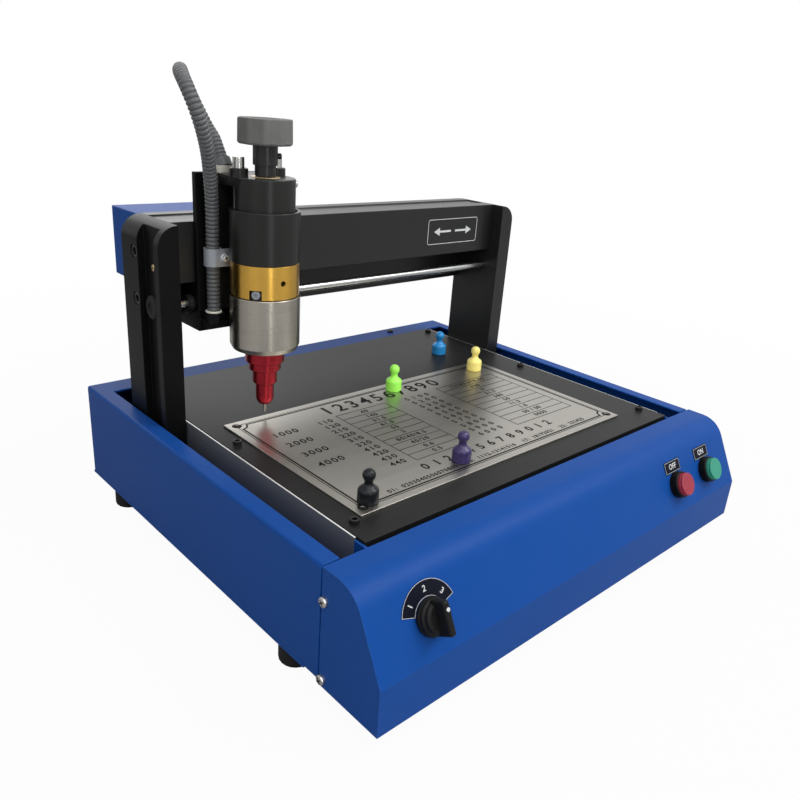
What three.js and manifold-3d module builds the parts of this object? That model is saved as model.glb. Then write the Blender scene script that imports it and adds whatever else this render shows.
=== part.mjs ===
// Nameplate marking machine: a bench marker whose gantry carries a vibrating needle over a flat table.
// Millimetres, +X right along the front console, +Y to the back, +Z up, floor at z = 0.
import * as THREE from "three";
import { mergeVertices } from "three/addons/utils/BufferGeometryUtils.js";
import Module from "manifold-3d";

const wasm = await Module();
wasm.setup();

// Case and console
const caseWidth = 350;
const caseDepth = 278.5;
const caseHeight = 67.5;
const caseSheet = 1.5;
const caseFold = 2.2;
const sideRimWidth = 11.2;
const rearRimWidth = 20.5;
const consoleDepth = 45;
const consoleDrop = 2.5;
const slopeRun = 21.6;
const lipHeight = 27.6;
const bullRadius = 18.9;
const seamGap = 1.3;
const footHeight = 16;
const footRadius = 10;
const baseSheet = 1.5;
const tabReach = 9;
const tabInset = 1.5;

// Table and what carries it
const tableThickness = 8;
const tableProud = 0.5;
const tableFrontGap = 3.5;
const tableRearGap = 0.8;
const tableSideGap = 0.3;
const stripSheet = 1;
const stripHeight = 24;
const stripDrop = 0.3;
const stripFrontShort = 7;
const railWidth = 15;
const barThickness = 12;
const plateLength = 245;
const plateWidth = 140;
const plateThickness = 1.2;

// Gantry
const coverOverhang = 3.2;
const coverDepth = 49;
const coverWidth = 76.3;
const coverHeight = 46.7;
const coverSheet = 1.2;
const beamDepth = 39.7;
const beamWall = 3;
const beamFrontHeight = 38;
const beamRearHeight = 69.1;
const gantryRise = 126.8;
const postWidth = 13.7;
const postDepth = 50;
const postSetback = 1;
const postCorner = 13;
const postTail = 18;
const postRimGap = 1.6;
const postStripGap = 1.2;
const channelDepth = 5;
const memberThickness = 10;
const memberDepth = 42;

// Drives
const motorSize = 42.3;
const motorLength = 34;
const motorFloorGap = 0.35;
const pilotRadius = 11;
const pilotDepth = 2;
const shaftRadius = 2.5;
const yRodRadius = 6;
const yRodInset = 41.3;
const bearingBlockWidth = 34;
const bearingBlockHeight = 22;
const bearingBlockDepth = 38;
const leadScrewRadius = 4;
const nutHalfWidth = 15;
const couplingRadius = 9.5;
const couplingLength = 25;
const xRodRadius = 3;
const pulleyRadius = 6.11;
const pulleyFlange = 8;
const beltWidth = 5.8;
const beltThickness = 1.2;

// Travel of each moving piece
const gantryBack = 10;
const buttonTravel = 3;
const strikeTravel = 2.7;
const headTravel = 12;

// Marking head, from the needle's tip upwards
const headInset = 46.4;
const headReach = 32.8;
const needleGap = 2.9;
const needleReach = 6.4;
const needleRadius = 1;
const nozzleStepRadii = [5.9, 7.9, 10.4, 12.6];
const nozzleStepHeights = [9.7, 9.3, 5.6, 9.4];
const nozzleSteps = nozzleStepRadii.map((radius, step) => ({ radius, height: nozzleStepHeights[step] }));
const nozzleTipHeight = 6;
const nozzleTipRadius = 1.8;
const housingRadius = 22.2;
const housingHeight = 35;
const housingWall = 3;
const housingChamfer = 3.2;
const ringRadius = 21.4;
const ringHeight = 21;
const sleeveRadius = 21.65;
const sleeveHeight = 31.2;
const sleeveWall = 2.25;
const sleeveFloor = 5;
const capRadius = 18.25;
const capRise = 18.8;
const neckRadius = 6.25;
const hubRadius = 7.4;
const gripRadius = 16.7;
const neckHeight = 6.3;
const hubHeight = 11.6;
const gripHeight = 14.6;
const spindleRadius = 4;
const pinRadius = 3.5;
const pinSpread = 13.2;
const pinBack = 8.3;
const pinAboveCap = 11;
const bushingRadius = 5.7;
const bushingHeight = 4.6;

// Clearances shared by every fit
const slipFit = 0.1;
const turnedGap = 0.3;
const overrun = 1;

// Facets of round shapes
const fine = 32;
const medium = 20;
const small = 12;
const tiny = 8;

// Levels and outlines worked out from the sizes above
const halfWidth = caseWidth / 2;
const frontY = -(consoleDepth + seamGap + caseDepth + coverOverhang) / 2;
const consoleRearY = frontY + consoleDepth;
const caseFrontY = consoleRearY + seamGap;
const caseRearY = caseFrontY + caseDepth;
const floorZ = footHeight + baseSheet;
const rimTopZ = floorZ + caseHeight;
const rimUnderZ = rimTopZ - caseSheet;
const rimInnerX = halfWidth - sideRimWidth;
const rearRimY = caseRearY - rearRimWidth;
const panelInnerX = halfWidth - caseSheet;
const tableTopZ = rimTopZ + tableProud;
const tableUnderZ = tableTopZ - tableThickness;
const tableFrontY = consoleRearY + tableFrontGap;
const tableRearY = rearRimY - tableRearGap;
const postOuterX = rimInnerX - postRimGap;
const postInnerX = postOuterX - postWidth;
const stripOuterX = postInnerX - postStripGap;
const stripInnerX = stripOuterX - stripSheet;
const tableHalf = stripInnerX - tableSideGap;
const yRodSpacing = 2 * (stripInnerX - yRodInset);
const driveZ = floorZ + motorFloorGap + motorSize / 2;
const memberLowZ = driveZ + bearingBlockHeight / 2;
const memberTopZ = memberLowZ + memberThickness;
const railLowZ = memberTopZ + 2 * overrun;
const coverRearY = caseRearY + coverOverhang;
const beamRearY = coverRearY - coverDepth;
const beamFrontY = beamRearY - beamDepth;
const beamTopZ = tableTopZ + gantryRise;
const postRearY = beamRearY - postSetback;
const postFrontY = postRearY - postDepth;
const plateTopZ = tableTopZ + plateThickness;
const headX = headInset - postInnerX;
const headY = beamFrontY - headReach;

const finishes = {
  blue: { color: 0x1d4fa8, roughness: 0.42, metalness: 0.1 },
  black: { color: 0x1b1d20, roughness: 0.45, metalness: 0.3 },
  steel: { color: 0xb9b8b2, roughness: 0.35, metalness: 0.9 },
  chrome: { color: 0xd9dcdf, roughness: 0.15, metalness: 1 },
  aluminium: { color: 0xa8adb2, roughness: 0.5, metalness: 0.8 },
  gold: { color: 0xc89434, roughness: 0.35, metalness: 0.8 },
  brass: { color: 0xb58a3c, roughness: 0.4, metalness: 0.9 },
  redMetal: { color: 0xa81426, roughness: 0.35, metalness: 0.6 },
  rubber: { color: 0x161616, roughness: 0.85, metalness: 0 },
  hose: { color: 0x2c3236, roughness: 0.6, metalness: 0 },
  nylon: { color: 0xd8d3bd, roughness: 0.5, metalness: 0 },
  board: { color: 0x1d5b36, roughness: 0.5, metalness: 0 },
  copper: { color: 0xa35a2a, roughness: 0.4, metalness: 0.8 },
  galvanised: { color: 0x9fa5a8, roughness: 0.5, metalness: 0.7 },
  redCap: { color: 0xb02840, roughness: 0.35, metalness: 0 },
  greenCap: { color: 0x2f9c74, roughness: 0.35, metalness: 0 },
  magnetBlue: { color: 0x2a86d0, roughness: 0.4, metalness: 0 },
  magnetGreen: { color: 0x7edb3a, roughness: 0.4, metalness: 0 },
  magnetYellow: { color: 0xf0e28a, roughness: 0.4, metalness: 0 },
  magnetPurple: { color: 0x4b3a7a, roughness: 0.4, metalness: 0 },
  magnetBlack: { color: 0x23262b, roughness: 0.4, metalness: 0 },
};

// Turning three.js geometry into solids that can be cut and joined
const mergeReach = 1e-4;
const axesPerPoint = 3;

function solid(geometry) {
  geometry.deleteAttribute("normal");
  geometry.deleteAttribute("uv");
  const merged = mergeVertices(geometry, mergeReach);
  return new wasm.Manifold(new wasm.Mesh({
    numProp: axesPerPoint,
    vertProperties: new Float32Array(merged.attributes.position.array),
    triVerts: new Uint32Array(merged.index.array),
  }));
}

function geometryOf(body) {
  const mesh = body.getMesh();
  const geometry = new THREE.BufferGeometry();
  const positions = new Float32Array(mesh.vertProperties);
  geometry.setAttribute("position", new THREE.BufferAttribute(positions, axesPerPoint));
  geometry.setIndex(new THREE.BufferAttribute(new Uint32Array(mesh.triVerts), 1));
  geometry.computeVertexNormals();
  return geometry;
}

function joined(bodies) {
  return bodies.reduce((whole, body) => whole.add(body));
}

function cut(body, tools) {
  return tools.reduce((rest, tool) => rest.subtract(tool), body);
}

function block(low, high) {
  const geometry = new THREE.BoxGeometry(high[0] - low[0], high[1] - low[1], high[2] - low[2]);
  geometry.translate((low[0] + high[0]) / 2, (low[1] + high[1]) / 2, (low[2] + high[2]) / 2);
  return solid(geometry);
}

// A round bar from one coordinate to another; centre holds the other two coordinates in X, Y, Z order
function bar(axis, radius, from, to, centre = [0, 0], facets = medium) {
  const geometry = new THREE.CylinderGeometry(radius, radius, to - from, facets);
  geometry.rotateX(Math.PI / 2);
  geometry.translate(0, 0, (from + to) / 2);
  if (axis === "x") {
    geometry.applyMatrix4(new THREE.Matrix4().set(0, 0, 1, 0, 1, 0, 0, 0, 0, 1, 0, 0, 0, 0, 0, 1));
    geometry.translate(0, centre[0], centre[1]);
  } else if (axis === "y") {
    geometry.applyMatrix4(new THREE.Matrix4().set(0, 1, 0, 0, 0, 0, 1, 0, 1, 0, 0, 0, 0, 0, 0, 1));
    geometry.translate(centre[0], 0, centre[1]);
  } else {
    geometry.translate(centre[0], centre[1], 0);
  }
  return solid(geometry);
}

// A ring or bush with a bore through it
function bush(axis, outer, bore, from, to, centre = [0, 0], facets = medium) {
  const body = bar(axis, outer, from, to, centre, facets);
  return cut(body, [bar(axis, bore, from - overrun, to + overrun, centre, facets)]);
}

// A turned piece on the Z axis: profile points are [radius, height], from axis to axis
function turned(profile, facets = medium) {
  const points = profile.map(([radius, height]) => new THREE.Vector2(radius, height));
  const geometry = new THREE.LatheGeometry(points, facets);
  geometry.rotateX(Math.PI / 2);
  return solid(geometry);
}

function outlineShape(points) {
  return new THREE.Shape(points.map(([u, v]) => new THREE.Vector2(u, v)));
}

// An outline pushed along an axis: outlines are in (y, z) for X, (x, z) for Y and (x, y) for Z
const cornerSteps = 4;

function prism(axis, outline, from, to) {
  const shape = outline instanceof THREE.Shape ? outline : outlineShape(outline);
  const geometry = new THREE.ExtrudeGeometry(shape, {
    depth: to - from,
    bevelEnabled: false,
    curveSegments: cornerSteps,
  });
  if (axis === "x") {
    geometry.translate(0, 0, from);
    geometry.applyMatrix4(new THREE.Matrix4().set(0, 0, 1, 0, 1, 0, 0, 0, 0, 1, 0, 0, 0, 0, 0, 1));
  } else if (axis === "y") {
    geometry.translate(0, 0, -to);
    geometry.rotateX(Math.PI / 2);
  } else {
    geometry.translate(0, 0, from);
  }
  return solid(geometry);
}

// A rectangle with its four corners rounded by the radii given from the low corner anticlockwise
function roundedOutline(low, high, radii) {
  const [r0, r1, r2, r3] = radii;
  const shape = new THREE.Shape();
  shape.moveTo(low[0] + r0, low[1]);
  shape.lineTo(high[0] - r1, low[1]);
  if (r1 > 0) {
    shape.absarc(high[0] - r1, low[1] + r1, r1, -Math.PI / 2, 0, false);
  }
  shape.lineTo(high[0], high[1] - r2);
  if (r2 > 0) {
    shape.absarc(high[0] - r2, high[1] - r2, r2, 0, Math.PI / 2, false);
  }
  shape.lineTo(low[0] + r3, high[1]);
  if (r3 > 0) {
    shape.absarc(low[0] + r3, high[1] - r3, r3, Math.PI / 2, Math.PI, false);
  }
  shape.lineTo(low[0], low[1] + r0);
  if (r0 > 0) {
    shape.absarc(low[0] + r0, low[1] + r0, r0, Math.PI, 1.5 * Math.PI, false);
  }
  return shape;
}

const usedNames = new Set();

function addPiece(group, name, body, finish) {
  if (usedNames.has(name)) {
    throw new Error(`two pieces are called ${name}`);
  }
  usedNames.add(name);
  const mesh = new THREE.Mesh(geometryOf(body), new THREE.MeshStandardMaterial(finishes[finish]));
  mesh.name = name;
  group.add(mesh);
  return mesh;
}

const machine = new THREE.Group();
const gantry = new THREE.Group();
const carriage = new THREE.Group();
const head = new THREE.Group();
const controls = new THREE.Group();
carriage.position.set(headX, 0, 0);
head.position.set(0, headY, 0);
machine.add(gantry, controls);
gantry.add(carriage);
carriage.add(head);

const sidesOf = [-1, 1];

// Console section: flat top, bullnose, straight slope, upright lip
const consoleTopZ = rimTopZ;
const consoleLowZ = floorZ - consoleDrop;
const slopeCornerY = frontY + slopeRun;
const slopeDrop = consoleTopZ - consoleLowZ - lipHeight;
const slopeLean = Math.atan2(slopeRun, slopeDrop);
const bullTangent = bullRadius * Math.tan((Math.PI / 2 - slopeLean) / 2);
const bullSteps = 6;

function consoleOutline(inset, reach) {
  const rearY = consoleRearY + reach;
  const lowZ = consoleLowZ - reach;
  const topZ = consoleTopZ - inset;
  const centreY = slopeCornerY + bullTangent;
  const centreZ = consoleTopZ - bullRadius;
  const points = [[rearY, lowZ], [rearY, topZ]];
  for (let step = 0; step <= bullSteps; step += 1) {
    const angle = Math.PI / 2 + (step / bullSteps) * (Math.PI / 2 - slopeLean);
    const radius = bullRadius - inset;
    points.push([centreY + radius * Math.cos(angle), centreZ + radius * Math.sin(angle)]);
  }
  const lipY = frontY + inset;
  const lipZ = consoleTopZ + ((lipY - slopeCornerY) * Math.cos(slopeLean) - inset) / Math.sin(slopeLean);
  points.push([lipY, lipZ], [lipY, lowZ]);
  return points;
}

// Places on the slope: local x along the console, y up the slope, z out of it
controls.position.set(0, slopeCornerY, consoleTopZ);
controls.rotation.set(Math.PI / 2 - slopeLean, 0, 0);
const slopeMatrix = new THREE.Matrix4().compose(
  controls.position,
  new THREE.Quaternion().setFromEuler(controls.rotation),
  new THREE.Vector3(1, 1, 1),
);

function onSlope(body) {
  const geometry = geometryOf(body);
  geometry.applyMatrix4(slopeMatrix);
  return solid(geometry);
}

// Controls on the slope
const stopButtonInset = 74.5;
const startButtonInset = 34.5;
const stopButtonX = halfWidth - stopButtonInset;
const startButtonX = halfWidth - startButtonInset;
const buttonPlaces = { stop: stopButtonX, start: startButtonX };
const buttonAlong = 29.2;
const buttonRadius = 9;
const buttonHeight = 5.7;
const buttonThread = 7.7;
const buttonDepth = 22;
const buttonNutRadius = 10;
const buttonNutHeight = 3;
const buttonFloor = 0.8;
const capProud = 3.1;
const capRim = 1;
const capGroove = 0.5;
const selectorInset = 38.6;
const selectorX = selectorInset - halfWidth;
const selectorAlong = 27.4;
const selectorBush = 5;
const selectorBodySize = 16;
const selectorBodyDepth = 18;
const selectorSkirt = 9.8;
const selectorSkirtHeight = 5.5;
const selectorGripHeight = 8;
const selectorGripWidth = 5.6;
const gripCornerShare = 0.33;
const selectorShaft = 2.9;
const legendSheet = 0.4;

// Screw holes of the sheet metal: M3
const panShankRadius = 1.5;
const upperConsoleScrew = 49.1;
const lowerConsoleScrew = 2.3;
const consoleScrewLevels = [upperConsoleScrew, lowerConsoleScrew];
const consoleScrewSetback = 2.3;
const rimScrewInset = 67;
const rimScrewX = halfWidth - rimScrewInset;
const rimScrewSetback = 10;

// Rear panel: inlet and a row of vents
const inletInset = 57;
const inletX = halfWidth - inletInset;
const inletLow = 16;
const inletWidth = 28;
const inletHeight = 22;
const inletFlange = 3;
const inletFlangeDepth = 2.6;
const inletDepth = 17;
const socketWidth = 23;
const socketHeight = 16;
const socketDepth = 13;
const ventCount = 8;
const ventPitch = 9;
const ventWidth = 3;
const ventHeight = 26;
const ventInset = 105;
const ventX = ventInset - halfWidth;
const ventLow = 20;

const inletLowZ = floorZ + inletLow;
const inletMidZ = inletLowZ + inletHeight / 2;

function rearCutouts() {
  const cuts = [block(
    [inletX - inletWidth / 2 - turnedGap, caseRearY - caseSheet - overrun, inletLowZ - turnedGap],
    [inletX + inletWidth / 2 + turnedGap, caseRearY + overrun, inletLowZ + inletHeight + turnedGap],
  )];
  for (let vent = 0; vent < ventCount; vent += 1) {
    const x = ventX + (vent - (ventCount - 1) / 2) * ventPitch;
    cuts.push(block(
      [x - ventWidth / 2, caseRearY - caseSheet - overrun, floorZ + ventLow],
      [x + ventWidth / 2, caseRearY + overrun, floorZ + ventLow + ventHeight],
    ));
  }
  return cuts;
}

const consoleScrewY = consoleRearY - consoleScrewSetback;
const rimScrewY = caseRearY - rimScrewSetback;

function screwHoles() {
  const holes = [];
  for (const side of sidesOf) {
    const ends = [side * (panelInnerX - tabInset - overrun), side * (halfWidth + overrun)];
    for (const level of consoleScrewLevels) {
      holes.push(bar("x", panShankRadius + slipFit, Math.min(...ends), Math.max(...ends),
        [consoleScrewY, floorZ + level], tiny));
    }
    holes.push(bar("z", panShankRadius + slipFit, rimUnderZ - overrun, rimTopZ + overrun,
      [side * rimScrewX, rimScrewY], tiny));
  }
  return holes;
}

// Folded sheet case: two sides, rear and the rim turned in round the table
function makeCase() {
  const across = roundedOutline([-halfWidth, floorZ], [halfWidth, rimTopZ], [0, 0, caseFold, caseFold]);
  const lengthways = roundedOutline([caseFrontY, floorZ], [caseRearY, rimTopZ], [0, 0, caseFold, 0]);
  const plan = roundedOutline([-halfWidth, caseFrontY], [halfWidth, caseRearY], [0, 0, caseFold, caseFold]);
  const outer = prism("y", across, caseFrontY, caseRearY)
    .intersect(prism("x", lengthways, -halfWidth, halfWidth))
    .intersect(prism("z", plan, floorZ, rimTopZ));
  const cavity = block(
    [-panelInnerX, caseFrontY - overrun, floorZ - overrun],
    [panelInnerX, caseRearY - caseSheet, rimUnderZ],
  );
  const window = block(
    [-rimInnerX, caseFrontY - overrun, rimUnderZ - overrun],
    [rimInnerX, rearRimY, rimTopZ + overrun],
  );
  const shell = cut(outer, [cavity, window, ...rearCutouts()]);
  const tabs = sidesOf.map((side) => {
    const inner = side * (panelInnerX - tabInset);
    const flush = side * panelInnerX;
    const buried = side * (panelInnerX + caseSheet / 2);
    const front = block(
      [Math.min(inner, flush), caseFrontY - tabReach, floorZ],
      [Math.max(inner, flush), caseFrontY + tabReach, rimUnderZ - tabInset],
    );
    const rear = block(
      [Math.min(inner, buried), caseFrontY, floorZ],
      [Math.max(inner, buried), caseFrontY + tabReach, rimUnderZ - tabInset],
    );
    return front.add(rear);
  });
  return cut(joined([shell, ...tabs]), screwHoles());
}

// Base plate: full width under the case, narrower under the console
const baseShoulder = 12;
const consoleEndGap = 1;

function makeBase() {
  const wide = halfWidth;
  const narrow = panelInnerX - consoleEndGap;
  const shoulderY = caseFrontY + baseShoulder;
  const outline = [
    [-narrow, frontY + caseSheet + consoleEndGap], [narrow, frontY + caseSheet + consoleEndGap],
    [narrow, shoulderY], [wide, shoulderY], [wide, caseRearY], [-wide, caseRearY],
    [-wide, shoulderY], [-narrow, shoulderY],
  ];
  return prism("z", outline, footHeight, floorZ);
}

// Four round rubber feet with a sunk screw hole
const footInsetX = 13;
const footFrontSetback = 36;
const footRearSetback = 31;
const footTaper = 1.2;
const footHoleRadius = 4;
const footHoleDepth = 9;

function makeFoot() {
  const foot = [
    [0, footHoleDepth], [footHoleRadius, footHoleDepth], [footHoleRadius, 0],
    [footRadius - footTaper, 0], [footRadius, footTaper], [footRadius, footHeight], [0, footHeight],
  ];
  return turned(foot);
}

// Console shell: bent sheet with closed ends, a flange behind and two short fins beside the table
const flangeDrop = 7;
const finHeight = 9;
const finLength = 10;
const finDrop = 1;

function makeConsole() {
  const outer = prism("x", consoleOutline(0, 0), -halfWidth, halfWidth);
  const inner = prism("x", consoleOutline(caseSheet, overrun), -panelInnerX, panelInnerX);
  const flange = block(
    [-panelInnerX + tabInset + overrun, consoleRearY - caseSheet, consoleTopZ - caseSheet - flangeDrop],
    [panelInnerX - tabInset - overrun, consoleRearY, consoleTopZ - caseSheet / 2],
  );
  const fins = sidesOf.map((side) => {
    const near = side * (tableHalf + tableSideGap);
    const far = side * (tableHalf + tableSideGap + caseSheet);
    return block(
      [Math.min(near, far), consoleRearY - caseSheet, consoleTopZ - finDrop - finHeight],
      [Math.max(near, far), consoleRearY + finLength, consoleTopZ - finDrop],
    );
  });
  const holes = Object.values(buttonPlaces).map((x) => onSlope(
    bar("z", buttonThread + turnedGap, -caseSheet - overrun, overrun, [x, -buttonAlong]),
  ));
  holes.push(onSlope(
    bar("z", selectorBush + turnedGap, -caseSheet - overrun, overrun, [selectorX, -selectorAlong]),
  ));
  return cut(joined([outer.subtract(inner), flange, ...fins]), [...holes, ...screwHoles()]);
}

addPiece(machine, "case_shell", makeCase(), "blue");
addPiece(machine, "base_plate", makeBase(), "galvanised");
for (const side of sidesOf) {
  const sideName = side < 0 ? "left" : "right";
  const frontFoot = addPiece(machine, `foot_front_${sideName}`, makeFoot(), "rubber");
  frontFoot.position.set(side * (halfWidth - footInsetX), caseFrontY + footFrontSetback, 0);
  const rearFoot = addPiece(machine, `foot_rear_${sideName}`, makeFoot(), "rubber");
  rearFoot.position.set(side * (halfWidth - footInsetX), caseRearY - footRearSetback, 0);
}
addPiece(machine, "console_shell", makeConsole(), "blue");

// Table frame: two cross bars that stand on the base and hold the guide rods, with a rail along each side
const barHalf = stripInnerX;
const frontBarSetback = 10.5;
const frontBarFrontY = tableFrontY + frontBarSetback;
const frontBarRearY = frontBarFrontY + barThickness;
const rearBarFrontY = postRearY + gantryBack + 2 * overrun;
const rearBarRearY = rearBarFrontY + barThickness;
const screwBoreGap = 0.15;

function rodBores(fromY, toY) {
  return sidesOf.map((side) => bar("y", yRodRadius + slipFit / 2, fromY - overrun, toY + overrun,
    [(side * yRodSpacing) / 2, driveZ]));
}

function makeFrontBar() {
  const body = block([-barHalf, frontBarFrontY, floorZ], [barHalf, frontBarRearY, railLowZ + overrun]);
  const pilot = bar("y", pilotRadius + slipFit, frontBarFrontY - overrun, frontBarRearY + overrun,
    [0, driveZ]);
  return cut(body, [pilot, ...rodBores(frontBarFrontY, frontBarRearY)]);
}

function makeRearBar() {
  const body = block([-barHalf, rearBarFrontY, floorZ], [barHalf, rearBarRearY, railLowZ + overrun]);
  const bore = bar("y", leadScrewRadius + screwBoreGap, rearBarFrontY - overrun, rearBarRearY + overrun,
    [0, driveZ]);
  return cut(body, [bore, ...rodBores(rearBarFrontY, rearBarRearY)]);
}

function makeRod() {
  return bar("y", yRodRadius, frontBarFrontY, rearBarRearY, [0, driveZ]);
}

// Table with its screw seats, and the steel guard strips beside it
const tableScrewInset = 7.5;
const tableScrewX = tableHalf - tableScrewInset;
const tableScrewYShares = [0.07, 0.52, 0.965];
const capHeadRadius = 2.75;
const capHeadHeight = 3;
const capShankLength = 9;
const tableLength = tableRearY - tableFrontY;
const stripFrontY = tableFrontY + stripFrontShort;

function tableScrewPlaces() {
  const places = [];
  for (const side of sidesOf) {
    for (const share of tableScrewYShares) {
      places.push([side * tableScrewX, tableFrontY + share * tableLength]);
    }
  }
  return places;
}

function makeTable() {
  const body = block([-tableHalf, tableFrontY, tableUnderZ], [tableHalf, tableRearY, tableTopZ]);
  const holes = tableScrewPlaces().flatMap((place) => [
    bar("z", capHeadRadius + slipFit, tableTopZ - capHeadHeight - slipFit, tableTopZ + overrun,
      place, small),
    bar("z", panShankRadius + slipFit, tableUnderZ - overrun, tableTopZ, place, tiny),
  ]);
  return cut(body, holes);
}

function makeFrame() {
  const rails = sidesOf.map((side) => {
    const inner = side * (stripInnerX - railWidth);
    const outer = side * stripInnerX;
    return block(
      [Math.min(inner, outer), stripFrontY, railLowZ],
      [Math.max(inner, outer), tableRearY, tableUnderZ],
    );
  });
  const holes = tableScrewPlaces().map((place) => bar("z", panShankRadius + slipFit,
    tableTopZ - capHeadHeight - capShankLength - 2 * slipFit, tableUnderZ + overrun, place, tiny));
  return cut(joined([makeFrontBar(), makeRearBar(), ...rails]), holes);
}

function makeStrip() {
  const topZ = tableTopZ - stripDrop;
  return block([-stripSheet / 2, stripFrontY, topZ - stripHeight], [stripSheet / 2, tableRearY, topZ]);
}

// Nameplate blank with a hole in each corner
const plateX = -10;
const plateSetback = 19.5;
const plateY = tableFrontY + plateSetback + plateWidth / 2;
const plateHoleRadius = 1.6;
const plateHoleInset = 6;

function makePlate() {
  const low = [plateX - plateLength / 2, plateY - plateWidth / 2];
  const high = [plateX + plateLength / 2, plateY + plateWidth / 2];
  const body = block([...low, tableTopZ], [...high, plateTopZ]);
  const holes = [];
  for (const x of [low[0] + plateHoleInset, high[0] - plateHoleInset]) {
    for (const y of [low[1] + plateHoleInset, high[1] - plateHoleInset]) {
      holes.push(bar("z", plateHoleRadius, tableTopZ - overrun, plateTopZ + overrun, [x, y], tiny));
    }
  }
  return cut(body, holes);
}

addPiece(machine, "table_frame", makeFrame(), "aluminium");
addPiece(machine, "table_plate", makeTable(), "black");
for (const side of sidesOf) {
  const sideName = side < 0 ? "left" : "right";
  const rod = addPiece(machine, `y_guide_rod_${sideName}`, makeRod(), "chrome");
  rod.position.set((side * yRodSpacing) / 2, 0, 0);
  const strip = addPiece(machine, `guard_strip_${sideName}`, makeStrip(), "steel");
  strip.position.set(side * (stripInnerX + stripSheet / 2), 0, 0);
}
addPiece(machine, "nameplate", makePlate(), "steel");

// Square stepper motor drawn along Y: its face at faceY, its body on the side given by away
const motorCorner = 4;
const motorCap = 9;
const motorShaftDepth = 24;
const motorStackShare = 0.94;

function makeMotor(faceY, away, x, z, length) {
  const half = motorSize / 2;
  const flat = half - motorCorner;
  const section = [
    [x - flat, z - half], [x + flat, z - half], [x + half, z - flat], [x + half, z + flat],
    [x + flat, z + half], [x - flat, z + half], [x - half, z + flat], [x - half, z - flat],
  ];
  const inner = section.map(([u, v]) => [x + (u - x) * motorStackShare, z + (v - z) * motorStackShare]);
  const span = (a, b) => [faceY + away * a, faceY + away * b].sort((p, q) => p - q);
  const front = prism("y", section, ...span(0, motorCap));
  const stack = prism("y", inner, ...span(motorCap - overrun, length - motorCap + overrun));
  const rear = prism("y", section, ...span(length - motorCap, length));
  const pilot = bar("y", pilotRadius, ...span(-pilotDepth, overrun), [x, z]);
  const bore = bar("y", shaftRadius + screwBoreGap, ...span(-pilotDepth - overrun, motorShaftDepth),
    [x, z], small);
  return cut(joined([front, stack, rear, pilot]), [bore]);
}

addPiece(machine, "y_motor", makeMotor(frontBarFrontY, -1, 0, driveZ, motorLength), "black");

// Lead screw joined by a grooved coupling to the motor's shaft
const couplingFrontY = frontBarRearY + overrun;
const couplingRearY = couplingFrontY + couplingLength;
const couplingGroove = 1.2;
const couplingGroovePitch = 3.6;
const couplingGrooves = 3;

function makeLeadScrew() {
  const centre = [0, driveZ];
  const middle = couplingRearY - couplingLength / 2;
  const body = bar("y", couplingRadius, couplingFrontY, couplingRearY, centre, small);
  const grooves = [];
  for (let groove = 0; groove < couplingGrooves; groove += 1) {
    const y = middle + (groove - (couplingGrooves - 1) / 2) * couplingGroovePitch;
    grooves.push(bush("y", couplingRadius + overrun, couplingRadius - couplingGroove,
      y - couplingGroove / 2, y + couplingGroove / 2, centre, small));
  }
  const shaftFrontY = frontBarFrontY - motorShaftDepth + overrun;
  return joined([
    cut(body, grooves),
    bar("y", shaftRadius, shaftFrontY, couplingFrontY + overrun, centre, small),
    bar("y", leadScrewRadius, couplingRearY - overrun, rearBarRearY, centre),
  ]);
}

addPiece(machine, "lead_screw", makeLeadScrew(), "steel");

// Power supply and controller, both low enough for the gantry's cross member to pass over
const bayNutGap = 9;
const bayBearingGap = 4;
const bayInnerX = nutHalfWidth + bayNutGap;
const bayOuterX = (yRodSpacing - bearingBlockWidth) / 2 - bayBearingGap;
const supplySetback = 33;
const supplyLength = 120;
const supplyHeight = 26;
const supplyTerminal = 9;
const boardSetback = 13;
const boardLength = 140;
const boardThickness = 1.6;
const boardStand = 6;
const standRadius = 2.5;
const boardPartHeights = [12, 7, 4, 14, 10];
const boardPartsShares = [
  { at: [0.12, 0.1], size: [0.3, 0.16] },
  { at: [0.55, 0.12], size: [0.32, 0.2] },
  { at: [0.15, 0.42], size: [0.25, 0.25] },
  { at: [0.52, 0.5], size: [0.36, 0.14] },
  { at: [0.2, 0.8], size: [0.6, 0.09] },
];

function makeSupply() {
  const frontY = frontBarRearY + supplySetback;
  const topZ = floorZ + supplyHeight;
  const body = block([bayInnerX, frontY, floorZ], [bayOuterX, frontY + supplyLength, topZ]);
  const step = block(
    [bayInnerX - overrun, frontY - overrun, topZ - supplyHeight / 2],
    [bayOuterX + overrun, frontY + supplyTerminal, topZ + overrun],
  );
  return cut(body, [step]);
}

function makeBoard() {
  const width = bayOuterX - bayInnerX;
  const low = [-bayOuterX, frontBarRearY + boardSetback];
  const underZ = floorZ + boardStand;
  const topZ = underZ + boardThickness;
  const pieces = [block([...low, underZ], [low[0] + width, low[1] + boardLength, topZ])];
  for (const u of [2 * standRadius, width - 2 * standRadius]) {
    for (const v of [2 * standRadius, boardLength - 2 * standRadius]) {
      pieces.push(bar("z", standRadius, floorZ, topZ, [low[0] + u, low[1] + v], tiny));
    }
  }
  boardPartsShares.forEach((part, index) => {
    const from = [low[0] + part.at[0] * width, low[1] + part.at[1] * boardLength];
    pieces.push(block(
      [...from, topZ - boardThickness / 2],
      [from[0] + part.size[0] * width, from[1] + part.size[1] * boardLength, topZ + boardPartHeights[index]],
    ));
  });
  return joined(pieces);
}

addPiece(machine, "power_supply", makeSupply(), "galvanised");
addPiece(machine, "control_board", makeBoard(), "board");

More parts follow.
